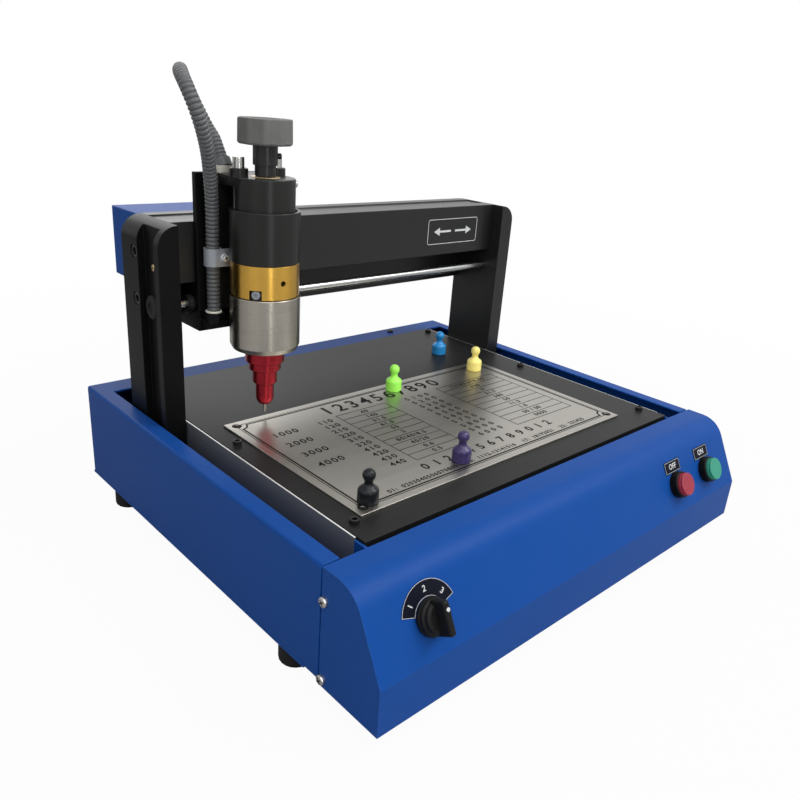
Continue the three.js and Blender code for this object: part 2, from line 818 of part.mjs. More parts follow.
// Power inlet with its socket
function makeInlet() {
  const flange = block(
    [inletX - inletWidth / 2 - inletFlange, caseRearY, inletLowZ - inletFlange],
    [inletX + inletWidth / 2 + inletFlange, caseRearY + inletFlangeDepth,
      inletLowZ + inletHeight + inletFlange],
  );
  const body = block(
    [inletX - inletWidth / 2, caseRearY - inletDepth, inletLowZ],
    [inletX + inletWidth / 2, caseRearY + overrun, inletLowZ + inletHeight],
  );
  const socket = block(
    [inletX - socketWidth / 2, caseRearY + inletFlangeDepth - socketDepth, inletMidZ - socketHeight / 2],
    [inletX + socketWidth / 2, caseRearY + inletFlangeDepth + overrun, inletMidZ + socketHeight / 2],
  );
  return cut(flange.add(body), [socket]);
}

addPiece(machine, "power_inlet", makeInlet(), "rubber");

// Push buttons and selector in their panel holes
const buttonBore = buttonRadius - capRim;

function makeButtonBody() {
  const nutTop = -caseSheet - turnedGap;
  return turned([
    [0, -buttonDepth], [buttonThread, -buttonDepth], [buttonThread, nutTop - buttonNutHeight],
    [buttonNutRadius, nutTop - buttonNutHeight], [buttonNutRadius, nutTop], [buttonThread, nutTop],
    [buttonThread, turnedGap], [buttonRadius, turnedGap], [buttonRadius, buttonHeight],
    [buttonBore, buttonHeight], [buttonBore, buttonFloor], [0, buttonFloor],
  ]);
}

function makeButtonCap() {
  const radius = buttonBore - turnedGap;
  const top = buttonHeight + capProud;
  return turned([
    [0, buttonFloor + buttonTravel + turnedGap], [radius, buttonFloor + buttonTravel + turnedGap],
    [radius, top - 2 * capGroove], [radius - capGroove, top - 2 * capGroove],
    [radius - capGroove, top - capGroove], [radius, top - capGroove], [radius - capGroove, top], [0, top],
  ]);
}

function makeSelectorBody() {
  const half = selectorBodySize / 2;
  const backZ = -caseSheet - turnedGap;
  const box = block([-half, -half, backZ - selectorBodyDepth], [half, half, backZ]);
  const bushing = bar("z", selectorBush, backZ - overrun, turnedGap);
  const bore = bar("z", selectorShaft + turnedGap, backZ - selectorBodyDepth / 2, overrun);
  return cut(box.add(bushing), [bore]);
}

function makeSelectorKnob() {
  const skirtLow = 2 * turnedGap + legendSheet;
  const skirtTop = skirtLow + selectorSkirtHeight;
  const shaftLow = -caseSheet - selectorBodyDepth / 2 + turnedGap;
  const skirt = turned([
    [0, skirtLow], [selectorSkirt, skirtLow], [selectorSkirt, skirtTop - legendSheet],
    [selectorSkirt - legendSheet, skirtTop], [0, skirtTop],
  ], fine);
  const corner = selectorGripWidth * gripCornerShare;
  const grip = prism("z", roundedOutline(
    [-selectorGripWidth / 2, -selectorSkirt + legendSheet],
    [selectorGripWidth / 2, selectorSkirt - legendSheet],
    [corner, corner, corner, corner],
  ), skirtTop - overrun, skirtTop + selectorGripHeight);
  return joined([skirt, grip, bar("z", selectorShaft, shaftLow, skirtLow + overrun, [0, 0], small)]);
}

const capFinishes = { stop: "redCap", start: "greenCap" };
for (const [use, x] of Object.entries(buttonPlaces)) {
  const body = addPiece(controls, `${use}_button_body`, makeButtonBody(), "black");
  const cap = addPiece(controls, `${use}_button_cap`, makeButtonCap(), capFinishes[use]);
  for (const piece of [body, cap]) {
    piece.position.set(x, -buttonAlong, 0);
  }
}
const selectorBody = addPiece(controls, "selector_body", makeSelectorBody(), "rubber");
selectorBody.position.set(selectorX, -selectorAlong, 0);
const selectorKnob = addPiece(controls, "selector_knob", makeSelectorKnob(), "black");
selectorKnob.position.set(selectorX, -selectorAlong, 0);

// Gantry posts: outer side channelled, outer top corner round, rods and screws seated in them
const frontRodDepth = 6.3;
const frontRodDrop = 52.9;
const upperRodDepth = 15;
const upperRodDrop = 16.5;
const rodSeat = 5.5;
const frontRodY = beamFrontY + frontRodDepth;
const frontRodZ = beamTopZ - frontRodDrop;
const upperRodY = beamFrontY + upperRodDepth;
const upperRodZ = beamTopZ - upperRodDrop;
const channelFront = 6;
const channelRear = 28;
const postScrewRadius = 4.2;
const postScrewHeight = 4.5;
const postScrewSetback = 17;
const postScrewY = postRearY - postScrewSetback;
const upperPostScrew = 20;
const lowerPostScrew = 50;
const postScrewDrops = [upperPostScrew, lowerPostScrew];

function makePost(side) {
  const inner = side * postInnerX;
  const outer = side * postOuterX;
  const lowZ = memberLowZ - postTail;
  const shape = roundedOutline([Math.min(inner, outer), lowZ], [Math.max(inner, outer), beamTopZ],
    side > 0 ? [0, 0, postCorner, 0] : [0, 0, 0, postCorner]);
  const body = prism("y", shape, postFrontY, postRearY);
  const channelX = [outer - side * channelDepth, outer + side * overrun].sort((a, b) => a - b);
  const channel = block(
    [channelX[0], postFrontY + channelFront, lowZ - overrun],
    [channelX[1], postFrontY + channelRear, beamTopZ + overrun],
  );
  const seatX = [inner - side * overrun, inner + side * rodSeat].sort((a, b) => a - b);
  const seats = [[frontRodY, frontRodZ], [upperRodY, upperRodZ]]
    .map((place) => bar("x", xRodRadius + slipFit / 2, ...seatX, place));
  const sinkX = [outer - side * (postScrewHeight + slipFit), outer + side * overrun].sort((a, b) => a - b);
  const sinks = postScrewDrops.map((drop) => bar("x", postScrewRadius + 2 * slipFit, ...sinkX,
    [postScrewY, beamTopZ - drop], small));
  return cut(body, [channel, ...seats, ...sinks]);
}

// Beam: front wall, top and deeper rear wall, open below for the carriage
const beamGrooveDepth = 1;
const beamGrooveFront = 12;
const beamGrooveRear = 30;
const motorInset = 30.5;
const idlerInset = 11.5;
const motorX = motorInset - postInnerX;
const idlerX = postInnerX - idlerInset;
const pulleyDrop = 26.3;
const pulleyZ = beamTopZ - pulleyDrop;
const xMotorLength = 40;
const idlerReach = 12.5;

function makeBeam() {
  const outer = block([-postInnerX, beamFrontY, beamTopZ - beamRearHeight],
    [postInnerX, beamRearY, beamTopZ]);
  const hollow = block(
    [-postInnerX - overrun, beamFrontY + beamWall, beamTopZ - beamRearHeight - overrun],
    [postInnerX + overrun, beamRearY - beamWall, beamTopZ - beamWall],
  );
  const under = block(
    [-postInnerX - overrun, beamFrontY - overrun, beamTopZ - beamRearHeight - overrun],
    [postInnerX + overrun, beamRearY - beamWall, beamTopZ - beamFrontHeight],
  );
  const groove = block(
    [-postInnerX - overrun, beamFrontY + beamGrooveFront, beamTopZ - beamGrooveDepth],
    [postInnerX + overrun, beamFrontY + beamGrooveRear, beamTopZ + overrun],
  );
  const pilot = bar("y", pilotRadius + slipFit, beamRearY - beamWall - overrun, beamRearY + overrun,
    [motorX, pulleyZ]);
  const idlerBolt = bar("y", shaftRadius, beamRearY - beamWall - idlerReach, beamRearY - beamWall / 2,
    [idlerX, pulleyZ], small);
  return cut(outer, [hollow, under, groove, pilot]).add(idlerBolt);
}

function makeXRod(place) {
  const half = postInnerX + rodSeat - slipFit;
  return bar("x", xRodRadius, -half, half, place);
}

// Blue sheet cover over the motor, open towards the beam
const coverRightSetback = 2.2;

function makeCover() {
  const leftX = -postInnerX + coverRightSetback;
  const lowZ = beamTopZ - coverHeight - coverRightSetback;
  const outer = block([leftX, beamRearY, lowZ], [leftX + coverWidth, coverRearY, lowZ + coverHeight]);
  const inner = block(
    [leftX + coverSheet, beamRearY - overrun, lowZ + coverSheet],
    [leftX + coverWidth - coverSheet, coverRearY - coverSheet, lowZ + coverHeight - coverSheet],
  );
  return cut(outer, [inner]);
}

// Toothed pulleys and the belt loop between them
const toothCount = 20;
const toothDepth = 0.6;
const flangeThickness = 1;
const hubLength = 2.5;
const pulleyRunGap = 0.4;
const pulleyRearY = beamRearY - beamWall - pulleyRunGap;
const pulleyFlangeY = pulleyRearY - hubLength;
const toothLength = beltWidth + 2 * pulleyRunGap;
const beltMidY = pulleyFlangeY - flangeThickness - toothLength / 2;
const beltRunRadius = pulleyRadius + slipFit;

const toothGapShare = 0.5;
const beltEndSteps = 12;

function makePulley(x, bored) {
  const outline = [];
  for (let tooth = 0; tooth < toothCount; tooth += 1) {
    for (const [share, radius] of [[0, pulleyRadius], [toothGapShare, pulleyRadius - toothDepth]]) {
      const angle = ((tooth + share) / toothCount) * 2 * Math.PI;
      outline.push([x + radius * Math.cos(angle), pulleyZ + radius * Math.sin(angle)]);
    }
  }
  const place = [x, pulleyZ];
  const frontFlangeY = pulleyFlangeY - flangeThickness - toothLength;
  const body = joined([
    prism("y", outline, frontFlangeY - overrun / 2, pulleyFlangeY - overrun / 2),
    bar("y", pulleyFlange, frontFlangeY - flangeThickness, frontFlangeY, place),
    bar("y", pulleyFlange, pulleyFlangeY - flangeThickness, pulleyFlangeY, place),
    bar("y", pulleyRadius, pulleyFlangeY - overrun, pulleyRearY, place),
  ]);
  if (bored) {
    const bore = bar("y", shaftRadius + screwBoreGap, frontFlangeY - 2 * overrun, pulleyRearY + overrun,
      place, small);
    return cut(body, [bore]);
  }
  const shaftRearY = beamRearY + motorShaftDepth - overrun;
  return body.add(bar("y", shaftRadius, pulleyRearY - overrun, shaftRearY, place, small));
}

function stadium(radius, steps = beltEndSteps) {
  const points = [];
  for (let step = 0; step <= steps; step += 1) {
    const angle = -Math.PI / 2 + (step / steps) * Math.PI;
    points.push([idlerX + radius * Math.cos(angle), pulleyZ + radius * Math.sin(angle)]);
  }
  for (let step = 0; step <= steps; step += 1) {
    const angle = Math.PI / 2 + (step / steps) * Math.PI;
    points.push([motorX + radius * Math.cos(angle), pulleyZ + radius * Math.sin(angle)]);
  }
  return points;
}

function makeBelt() {
  const low = beltMidY - beltWidth / 2;
  const high = beltMidY + beltWidth / 2;
  const outer = prism("y", stadium(beltRunRadius + beltThickness), low, high);
  return cut(outer, [prism("y", stadium(beltRunRadius), low - overrun, high + overrun)]);
}

// Cross member under the table, its linear bearings and the nut on the lead screw
const memberRearSetback = 4;
const nutDepth = 18;
const memberRearY = postRearY - memberRearSetback;

function makeMember() {
  return block([-postInnerX, memberRearY - memberDepth, memberLowZ], [postInnerX, memberRearY, memberTopZ]);
}

function makeBearing() {
  const lowZ = memberLowZ - bearingBlockHeight;
  const rearY = memberRearY - (memberDepth - bearingBlockDepth) / 2;
  const half = bearingBlockWidth / 2;
  const body = block([-half, rearY - bearingBlockDepth, lowZ], [half, rearY, memberLowZ]);
  return cut(body, [bar("y", yRodRadius + slipFit, rearY - bearingBlockDepth - overrun, rearY + overrun,
    [0, driveZ])]);
}

function makeLeadNut() {
  const lowZ = memberLowZ - bearingBlockHeight;
  const rearY = memberRearY - (memberDepth - bearingBlockDepth) / 2;
  const body = block([-nutHalfWidth, rearY - nutDepth, lowZ], [nutHalfWidth, rearY, memberLowZ]);
  return cut(body, [bar("y", leadScrewRadius + screwBoreGap, rearY - nutDepth - overrun, rearY + overrun,
    [0, driveZ])]);
}

addPiece(gantry, "post_left", makePost(-1), "black");
addPiece(gantry, "post_right", makePost(1), "black");
addPiece(gantry, "beam", makeBeam(), "black");
addPiece(gantry, "x_guide_rod_front", makeXRod([frontRodY, frontRodZ]), "chrome");
addPiece(gantry, "x_guide_rod_upper", makeXRod([upperRodY, upperRodZ]), "chrome");
addPiece(gantry, "x_motor", makeMotor(beamRearY, 1, motorX, pulleyZ, xMotorLength), "black");
addPiece(gantry, "motor_cover", makeCover(), "blue");
addPiece(gantry, "x_drive_pulley", makePulley(motorX, false), "aluminium");
addPiece(gantry, "x_idler_pulley", makePulley(idlerX, true), "aluminium");
addPiece(gantry, "x_belt", makeBelt(), "rubber");
addPiece(gantry, "cross_member", makeMember(), "black");
for (const side of sidesOf) {
  const sideName = side < 0 ? "left" : "right";
  const bearing = addPiece(gantry, `gantry_bearing_${sideName}`, makeBearing(), "aluminium");
  bearing.position.set((side * yRodSpacing) / 2, 0, 0);
}
addPiece(gantry, "lead_nut", makeLeadNut(), "brass");

// Levels of the marking head, up from the plate
const needleTipZ = plateTopZ + needleGap;
const nozzleTipZ = needleTipZ + needleReach;
const nozzleStartZ = nozzleTipZ + nozzleTipHeight;
const housingLowZ = nozzleStepHeights.reduce((level, height) => level + height, nozzleStartZ);
const housingTopZ = housingLowZ + housingHeight;
const ringTopZ = housingTopZ + ringHeight;
const sleeveTopZ = ringTopZ + sleeveHeight;
const capTopZ = sleeveTopZ + capRise;

// Route of the hose: points chosen by hand, x and y from the head's axis
const hosePoints = [
  [-23.7, 22.5, 157.3], [-23.7, 22.5, 168], [-23.7, 22.5, 182], [-23.7, 22.5, 194], [-23.8, 21.9, 210],
  [-25.1, 19.5, 226], [-28.9, 14, 242], [-34.3, 7, 256.5], [-39.7, 2.3, 268.5], [-43.9, 1.8, 279.5],
  [-45.7, 7, 289.5], [-43.2, 18, 296], [-36.4, 31, 297.5], [-28.7, 42, 293], [-21.4, 48, 284.5],
  [-15.9, 48.3, 275], [-12.9, 44, 266], [-11.9, 38.8, 260.7], [-11.9, 34.4, 254.9], [-11.9, 30, 249],
];
const hoseRoute = hosePoints.map(([x, y, z]) => [headX + x, headY + y, z]);

// Carriage: front plate and a block that rides on both rods and grips the belt; x is from the head's axis
const carriageHalf = 31;
const carriageLow = 16.4;
const plateFrontGap = 0.5;
const frontPlateThickness = 3.8;
const carriageDepth = 22.3;
const clampX = 11;
const clampHalf = 4;
const clampGap = 0.25;
const clampLip = 2;
const xBearingRadius = 6;
const xBearingProud = 4;
const ledgeInner = -17;
const ledgeOuter = -30;
const ledgeReach = 11.5;
const ledgeThickness = 4;
const carriageLowZ = frontRodZ - carriageLow;
const frontPlateRearY = beamFrontY - plateFrontGap;
const frontPlateFrontY = frontPlateRearY - frontPlateThickness;
const ledgeTopZ = carriageLowZ + 2 * ledgeThickness;
const bossRadius = 6.4;
const bossHeight = 5.7;
const bossSides = 6;

function makeCarriage() {
  const underWallZ = beamTopZ - beamFrontHeight - overrun;
  const insideY = beamFrontY + beamWall + overrun;
  const blockRearY = beamFrontY + carriageDepth;
  const front = block([-carriageHalf, frontPlateFrontY, carriageLowZ],
    [carriageHalf, frontPlateRearY, capTopZ]);
  const lower = block([-carriageHalf, frontPlateRearY - overrun, carriageLowZ],
    [carriageHalf, blockRearY, underWallZ]);
  const upper = block([-carriageHalf, insideY, underWallZ - overrun],
    [carriageHalf, blockRearY, upperRodZ + xBearingRadius + 2 * overrun]);
  const runZ = pulleyZ - beltRunRadius - beltThickness;
  const clampFarY = beltMidY + beltWidth / 2 + clampGap + clampLip;
  const clamp = block(
    [clampX - clampHalf, insideY + overrun, runZ - clampGap - clampLip],
    [clampX + clampHalf, clampFarY, runZ + beltThickness + clampGap + clampLip],
  );
  const beltPath = block(
    [clampX - clampHalf - overrun, beltMidY - beltWidth / 2 - clampGap, runZ - clampGap],
    [clampX + clampHalf + overrun, beltMidY + beltWidth / 2 + clampGap, runZ + beltThickness + clampGap],
  );
  const ledge = block([ledgeOuter, frontPlateFrontY - ledgeReach, ledgeTopZ - ledgeThickness],
    [ledgeInner, frontPlateFrontY + overrun, ledgeTopZ]);
  const boss = bar("z", bossRadius, ledgeTopZ - overrun, ledgeTopZ + bossHeight,
    [hoseRoute[0][0] - headX, hoseRoute[0][1]], bossSides);
  const bores = [[xBearingRadius + slipFit / 2, [frontRodY, frontRodZ]],
    [xRodRadius + slipFit, [upperRodY, upperRodZ]]].map(([radius, place]) => bar("x", radius,
    -carriageHalf - overrun, carriageHalf + overrun, place));
  return cut(joined([front, lower, upper, clamp, ledge, boss]), [beltPath, ...bores]);
}

function makeXBearing() {
  const half = carriageHalf + xBearingProud;
  return bush("x", xBearingRadius, xRodRadius + slipFit, -half, half, [frontRodY, frontRodZ]);
}

// Head bracket: a back block on the carriage and a fixed barrel that the moving sleeve slides over
const backHalf = 19.1;
const backLowDrop = 84;
const backFrontGap = 0.8;
const barrelLowGap = 4;
const nutRadius = 9;
const nutLength = 14;
const nutProud = 0.3;
const nutLevel = capTopZ + nutProud;
const barrelLowZ = ringTopZ + sleeveFloor + headTravel + barrelLowGap;
const armLowZ = sleeveTopZ + headTravel + backFrontGap;
const backFrontY = headY + sleeveRadius + backFrontGap;
const pinPlaces = sidesOf.map((side) => [side * pinSpread, pinBack]);

function makeBracket() {
  const back = block([-backHalf, backFrontY, capTopZ - backLowDrop], [backHalf, frontPlateFrontY, capTopZ]);
  const barrel = bar("z", capRadius, barrelLowZ, capTopZ, [0, headY], fine);
  const arm = block([-capRadius, headY, armLowZ], [capRadius, backFrontY + overrun, capTopZ]);
  const bushings = pinPlaces.map(([x, y]) => bar("z", bushingRadius, capTopZ - overrun,
    capTopZ + bushingHeight, [x, headY + y]));
  const pinBores = pinPlaces.map(([x, y]) => bar("z", pinRadius + 2 * slipFit, barrelLowZ - overrun,
    capTopZ + bushingHeight + overrun, [x, headY + y]));
  const nutBore = bar("z", nutRadius + slipFit / 2, nutLevel - nutLength, capTopZ + overrun, [0, headY]);
  const spindleBore = bar("z", spindleRadius + overrun, barrelLowZ - overrun, capTopZ, [0, headY]);
  return cut(joined([back, barrel, arm, ...bushings]), [...pinBores, nutBore, spindleBore]);
}

function makeLiftNut() {
  return bush("z", nutRadius, spindleRadius + 2 * slipFit, nutLevel - nutLength, nutLevel, [0, headY]);
}

addPiece(carriage, "carriage_block", makeCarriage(), "black");
addPiece(carriage, "carriage_bearing", makeXBearing(), "steel");
addPiece(carriage, "head_bracket", makeBracket(), "black");
addPiece(carriage, "lift_nut", makeLiftNut(), "brass");

// Moving head, round its own axis: sleeve, index ring, coil housing, nozzle, pins, knob
const sleeveBore = sleeveRadius - sleeveWall;
const spigotRadius = 19;
const spigotHeight = 16;
const ringBore = spigotRadius + slipFit;
const pinPlateThickness = 2;
const endPilotRadius = 3;
const slotWidth = 7.6;
const slotHeight = 6.4;
const slotAngle = -2.42;
const holeRadius = 1.35;
const holeAngle = -1.61;
const nozzleThread = 8.5;
const needleBore = 1.3;
const stemRadius = 1.8;
const plungerRadius = 6.2;
const plungerGap = 0.4;
const coilRadius = housingRadius - housingWall - slipFit;
const coilGap = 2;

function makeSleeve() {
  const body = bar("z", sleeveRadius, ringTopZ, sleeveTopZ, [0, 0], fine);
  const bore = bar("z", sleeveBore, ringTopZ + sleeveFloor, sleeveTopZ + overrun, [0, 0], fine);
  const pilot = bar("z", endPilotRadius + slipFit, ringTopZ + slipFit, sleeveTopZ, [0, 0]);
  return cut(body, [bore, pilot]);
}

function makeRing() {
  const body = bush("z", ringRadius, ringBore, housingTopZ, ringTopZ, [0, 0], fine);
  const slotBox = new THREE.BoxGeometry(ringRadius, slotWidth, 2 * slotHeight);
  slotBox.translate(ringRadius, 0, housingTopZ);
  slotBox.rotateZ(slotAngle);
  const drill = new THREE.CylinderGeometry(holeRadius, holeRadius, ringRadius, tiny);
  drill.rotateZ(Math.PI / 2);
  drill.translate(ringRadius, 0, (housingTopZ + ringTopZ) / 2);
  drill.rotateZ(holeAngle);
  return cut(body, [solid(slotBox), solid(drill)]);
}

const nozzleTopZ = housingLowZ + nozzleThread;

function makeHousing() {
  const floorTopZ = housingLowZ + housingWall + overrun;
  const can = turned([
    [0, housingLowZ], [housingRadius - housingChamfer / 2, housingLowZ],
    [housingRadius, housingLowZ + housingChamfer], [housingRadius, housingTopZ],
    [spigotRadius, housingTopZ], [spigotRadius, housingTopZ + spigotHeight], [0, housingTopZ + spigotHeight],
  ], fine);
  const hollow = bar("z", housingRadius - housingWall, floorTopZ, housingTopZ - housingWall, [0, 0], fine);
  const mouth = bar("z", nozzleSteps[2].radius + slipFit, housingLowZ - overrun, floorTopZ + overrun);
  const wireHole = bar("z", housingWall, housingTopZ - 2 * housingWall,
    housingTopZ + spigotHeight + overrun);
  return cut(can, [hollow, mouth, wireHole]);
}

function makeNozzle() {
  const profile = [[0, nozzleTipZ], [nozzleTipRadius, nozzleTipZ]];
  const tipSteps = 4;
  const reach = nozzleSteps[0].radius - nozzleTipRadius;
  for (let step = 1; step <= tipSteps; step += 1) {
    const angle = (step / tipSteps) * (Math.PI / 2);
    const level = nozzleStartZ - nozzleTipHeight * Math.cos(angle);
    profile.push([nozzleTipRadius + reach * Math.sin(angle), level]);
  }
  let level = nozzleStartZ;
  nozzleSteps.forEach((step, index) => {
    if (index > 0) {
      profile.push([step.radius, level]);
    }
    level += step.height;
    profile.push([step.radius, level]);
  });
  const threadRadius = nozzleSteps[2].radius;
  profile.push([threadRadius, housingLowZ], [threadRadius, nozzleTopZ], [0, nozzleTopZ]);
  const body = turned(profile);
  const tipBore = bar("z", needleBore, nozzleTipZ - overrun, nozzleTopZ + overrun, [0, 0], small);
  const stemBore = bar("z", stemRadius + 2 * turnedGap, nozzleStartZ + nozzleSteps[0].height,
    nozzleTopZ + overrun, [0, 0], small);
  const springBore = bar("z", plungerRadius + turnedGap, springLowZ, nozzleTopZ + overrun);
  return cut(body, [tipBore, stemBore, springBore]);
}

// Needle with its plunger, the coil round it and the spring under it
const springLowZ = housingLowZ - nozzleSteps[nozzleSteps.length - 1].height / 2;
const springHeight = 12;
const springWall = 1.2;
const plungerLowZ = springLowZ + springHeight + turnedGap;
const plungerTopZ = housingTopZ - housingWall - plungerGap;
const coilLowZ = nozzleTopZ + coilGap;

const pointShare = 0.35;

function makeNeedle() {
  const stemLowZ = nozzleStartZ + nozzleSteps[0].height + strikeTravel + turnedGap;
  return turned([
    [0, needleTipZ], [needleRadius * pointShare, needleTipZ], [needleRadius, needleTipZ + 2 * needleRadius],
    [needleRadius, stemLowZ], [stemRadius, stemLowZ], [stemRadius, plungerLowZ],
    [plungerRadius, plungerLowZ], [plungerRadius, plungerTopZ], [0, plungerTopZ],
  ], small);
}

function makeSpring() {
  return bush("z", plungerRadius - turnedGap, plungerRadius - turnedGap - springWall,
    springLowZ + turnedGap / 2, springLowZ + turnedGap / 2 + springHeight, [0, 0], small);
}

function makeCoil() {
  const topZ = housingTopZ - housingWall - slipFit;
  return bush("z", coilRadius, plungerRadius + turnedGap, coilLowZ, topZ, [0, 0], fine);
}

// Two guide pins standing on one plate that lies on the sleeve's floor
function makePins() {
  const lowZ = ringTopZ + sleeveFloor;
  const plate = bush("z", sleeveBore - slipFit, spindleRadius + turnedGap, lowZ, lowZ + pinPlateThickness);
  const pins = pinPlaces.map((place) => bar("z", pinRadius, lowZ, capTopZ + pinAboveCap, place));
  return joined([plate, ...pins]);
}

// Adjusting knob: spindle, collar, hub and a grip with shallow scallops
const gripScallops = 10;
const scallopRadius = 9;
const scallopDepth = 0.8;
const gripChamfer = 1.6;
const gripTopChamfer = 0.4;

function makeKnob() {
  const collarLowZ = nutLevel + turnedGap;
  const hubLowZ = collarLowZ + neckHeight;
  const gripLowZ = hubLowZ + hubHeight;
  const gripTopZ = gripLowZ + gripHeight;
  const spindleLowZ = ringTopZ + sleeveFloor + turnedGap;
  const body = turned([
    [0, ringTopZ + 2 * slipFit], [endPilotRadius, ringTopZ + 2 * slipFit], [endPilotRadius, spindleLowZ],
    [spindleRadius, spindleLowZ], [spindleRadius, collarLowZ], [neckRadius, collarLowZ],
    [neckRadius, hubLowZ], [hubRadius, hubLowZ], [hubRadius, gripLowZ], [gripRadius - gripChamfer, gripLowZ],
    [gripRadius, gripLowZ + gripChamfer], [gripRadius, gripTopZ - gripTopChamfer],
    [gripRadius - gripTopChamfer, gripTopZ], [0, gripTopZ],
  ], fine);
  const cutters = [];
  for (let index = 0; index < gripScallops; index += 1) {
    const angle = (index / gripScallops) * 2 * Math.PI;
    const away = gripRadius + scallopRadius - scallopDepth;
    cutters.push(bar("z", scallopRadius, gripLowZ - overrun, gripTopZ + overrun,
      [away * Math.cos(angle), away * Math.sin(angle)], small));
  }
  return cut(body, cutters);
}

addPiece(head, "head_sleeve", makeSleeve(), "black");
addPiece(head, "index_ring", makeRing(), "gold");
addPiece(head, "coil_housing", makeHousing(), "steel");
addPiece(head, "solenoid_coil", makeCoil(), "copper");
addPiece(head, "nozzle", makeNozzle(), "redMetal");
addPiece(head, "needle", makeNeedle(), "steel");
addPiece(head, "needle_spring", makeSpring(), "steel");
addPiece(head, "guide_pins", makePins(), "chrome");
addPiece(head, "adjusting_knob", makeKnob(), "black");

// Ribbed hose: out of the foot boss, over, and back into the end fitting
const hoseRadius = 4.1;
const hoseRootShare = 0.82;
const hoseBoreShare = 0.66;
const hosePitch = 2.6;
const hoseSides = 8;
const ribsPerBoreRing = 5;

function hoseCurve() {
  const points = hoseRoute.map((point) => new THREE.Vector3(...point));
  return new THREE.CatmullRomCurve3(points, false, "centripetal");
}

// Rings of points along the curve, outer rings first and bore rings after, closed into one skin
function makeHose() {
  const curve = hoseCurve();
  const length = curve.getLength();
  const ribs = Math.floor(length / hosePitch);
  const steps = ribs * 2;
  const frames = curve.computeFrenetFrames(steps, false);
  const vertices = [];
  const rings = [];
  const addRing = (step, radius) => {
    const centre = curve.getPointAt(step / steps);
    const ring = [];
    for (let side = 0; side < hoseSides; side += 1) {
      const angle = (side / hoseSides) * 2 * Math.PI;
      const point = centre.clone()
        .addScaledVector(frames.normals[step], radius * Math.cos(angle))
        .addScaledVector(frames.binormals[step], radius * Math.sin(angle));
      ring.push(vertices.length / axesPerPoint);
      vertices.push(point.x, point.y, point.z);
    }
    rings.push(ring);
  };
  for (let step = 0; step <= steps; step += 1) {
    addRing(step, step % 2 === 0 ? hoseRadius * hoseRootShare : hoseRadius);
  }
  for (let rib = ribs; rib > 0; rib -= ribsPerBoreRing) {
    addRing(rib * 2, hoseRadius * hoseBoreShare);
  }
  addRing(0, hoseRadius * hoseBoreShare);
  rings.push(rings[0]);
  const indices = [];
  for (let row = 0; row + 1 < rings.length; row += 1) {
    for (let side = 0; side < hoseSides; side += 1) {
      const next = (side + 1) % hoseSides;
      const [a, b] = [rings[row][side], rings[row][next]];
      const [c, d] = [rings[row + 1][side], rings[row + 1][next]];
      indices.push(a, b, d, a, d, c);
    }
  }
  const geometry = new THREE.BufferGeometry();
  geometry.setAttribute("position", new THREE.BufferAttribute(new Float32Array(vertices), axesPerPoint));
  geometry.setIndex(indices);
  geometry.computeVertexNormals();
  return { geometry, curve, length };
}

// Least gap between two stretches of the hose that are further apart along it than a tight bend
function leastGap(curve, length) {
  const samples = 200;
  const bendReach = 8 * hoseRadius;
  const apart = Math.ceil((samples * bendReach) / length);
  const points = curve.getSpacedPoints(samples);
  let least = Infinity;
  for (let i = 0; i < points.length; i += 1) {
    for (let j = i + apart; j < points.length; j += 1) {
      least = Math.min(least, points[i].distanceTo(points[j]) - 2 * hoseRadius);
    }
  }
  return least;
}

const hose = makeHose();
const hoseMesh = new THREE.Mesh(hose.geometry, new THREE.MeshStandardMaterial(finishes.hose));
hoseMesh.name = "hose";
gantry.add(hoseMesh);
console.log(`hose length ${hose.length.toFixed(1)} mm, least gap to itself ${
  leastGap(hose.curve, hose.length).toFixed(2)} mm`);

// Clip round the hose, screwed to the head bracket
const clipLevel = 191.8;
const clipWidth = 11;
const clipSheet = 1;
const clipGap = 0.4;
const clipTail = 9.6;
const clipScrewReach = 5.2;
const clipSpacerRadius = 1.8;
const clipScrewRadius = 2.4;
const clipScrewHeight = 2;

function makeClip() {
  const [x, y] = hoseRoute[0];
  const lowZ = clipLevel - clipWidth / 2;
  const topZ = clipLevel + clipWidth / 2;
  const inner = hoseRadius + clipGap;
  const outer = inner + clipSheet;
  const strapY = y - outer;
  const spot = [x + clipScrewReach, clipLevel];
  const band = bar("z", outer, lowZ, topZ, [x, y]);
  const tail = block([x, strapY, lowZ], [x + clipTail, strapY + clipSheet, topZ]);
  const spacer = bar("y", clipSpacerRadius, strapY + clipSheet / 2, backFrontY, spot, small);
  const screw = bar("y", clipScrewRadius, strapY - clipScrewHeight, strapY + clipSheet / 2, spot, small);
  const bore = bar("z", inner, lowZ - overrun, topZ + overrun, [x, y]);
  const behind = block([x, backFrontY, lowZ - overrun], [x + 2 * outer, y + 2 * outer, topZ + overrun]);
  return cut(joined([cut(band, [behind]), tail, spacer, screw]), [bore]);
}

// Fitting on the bracket's top that takes the tilted end of the hose
const stubRadius = 5.4;
const stubLength = 6;
const stubBaseWidth = 12;
const stubBaseHeight = 4.4;
const stubTilt = 0.6435;

function makeEndFitting() {
  const [endX, endY, endZ] = hoseRoute[hoseRoute.length - 1];
  const stub = new THREE.CylinderGeometry(stubRadius, stubRadius, stubLength, medium);
  stub.translate(0, -stubLength / 2 - turnedGap, 0);
  stub.rotateX(Math.PI / 2 - stubTilt);
  stub.translate(endX, endY, endZ);
  const base = block(
    [endX - stubBaseWidth / 2, backFrontY, capTopZ],
    [endX + stubBaseWidth / 2, frontPlateRearY, capTopZ + stubBaseHeight],
  );
  const reach = 4 * stubRadius;
  const limit = block([endX - reach, endY - reach, capTopZ], [endX + reach, endY + reach, endZ + reach]);
  return joined([base, solid(stub).intersect(limit)]);
}

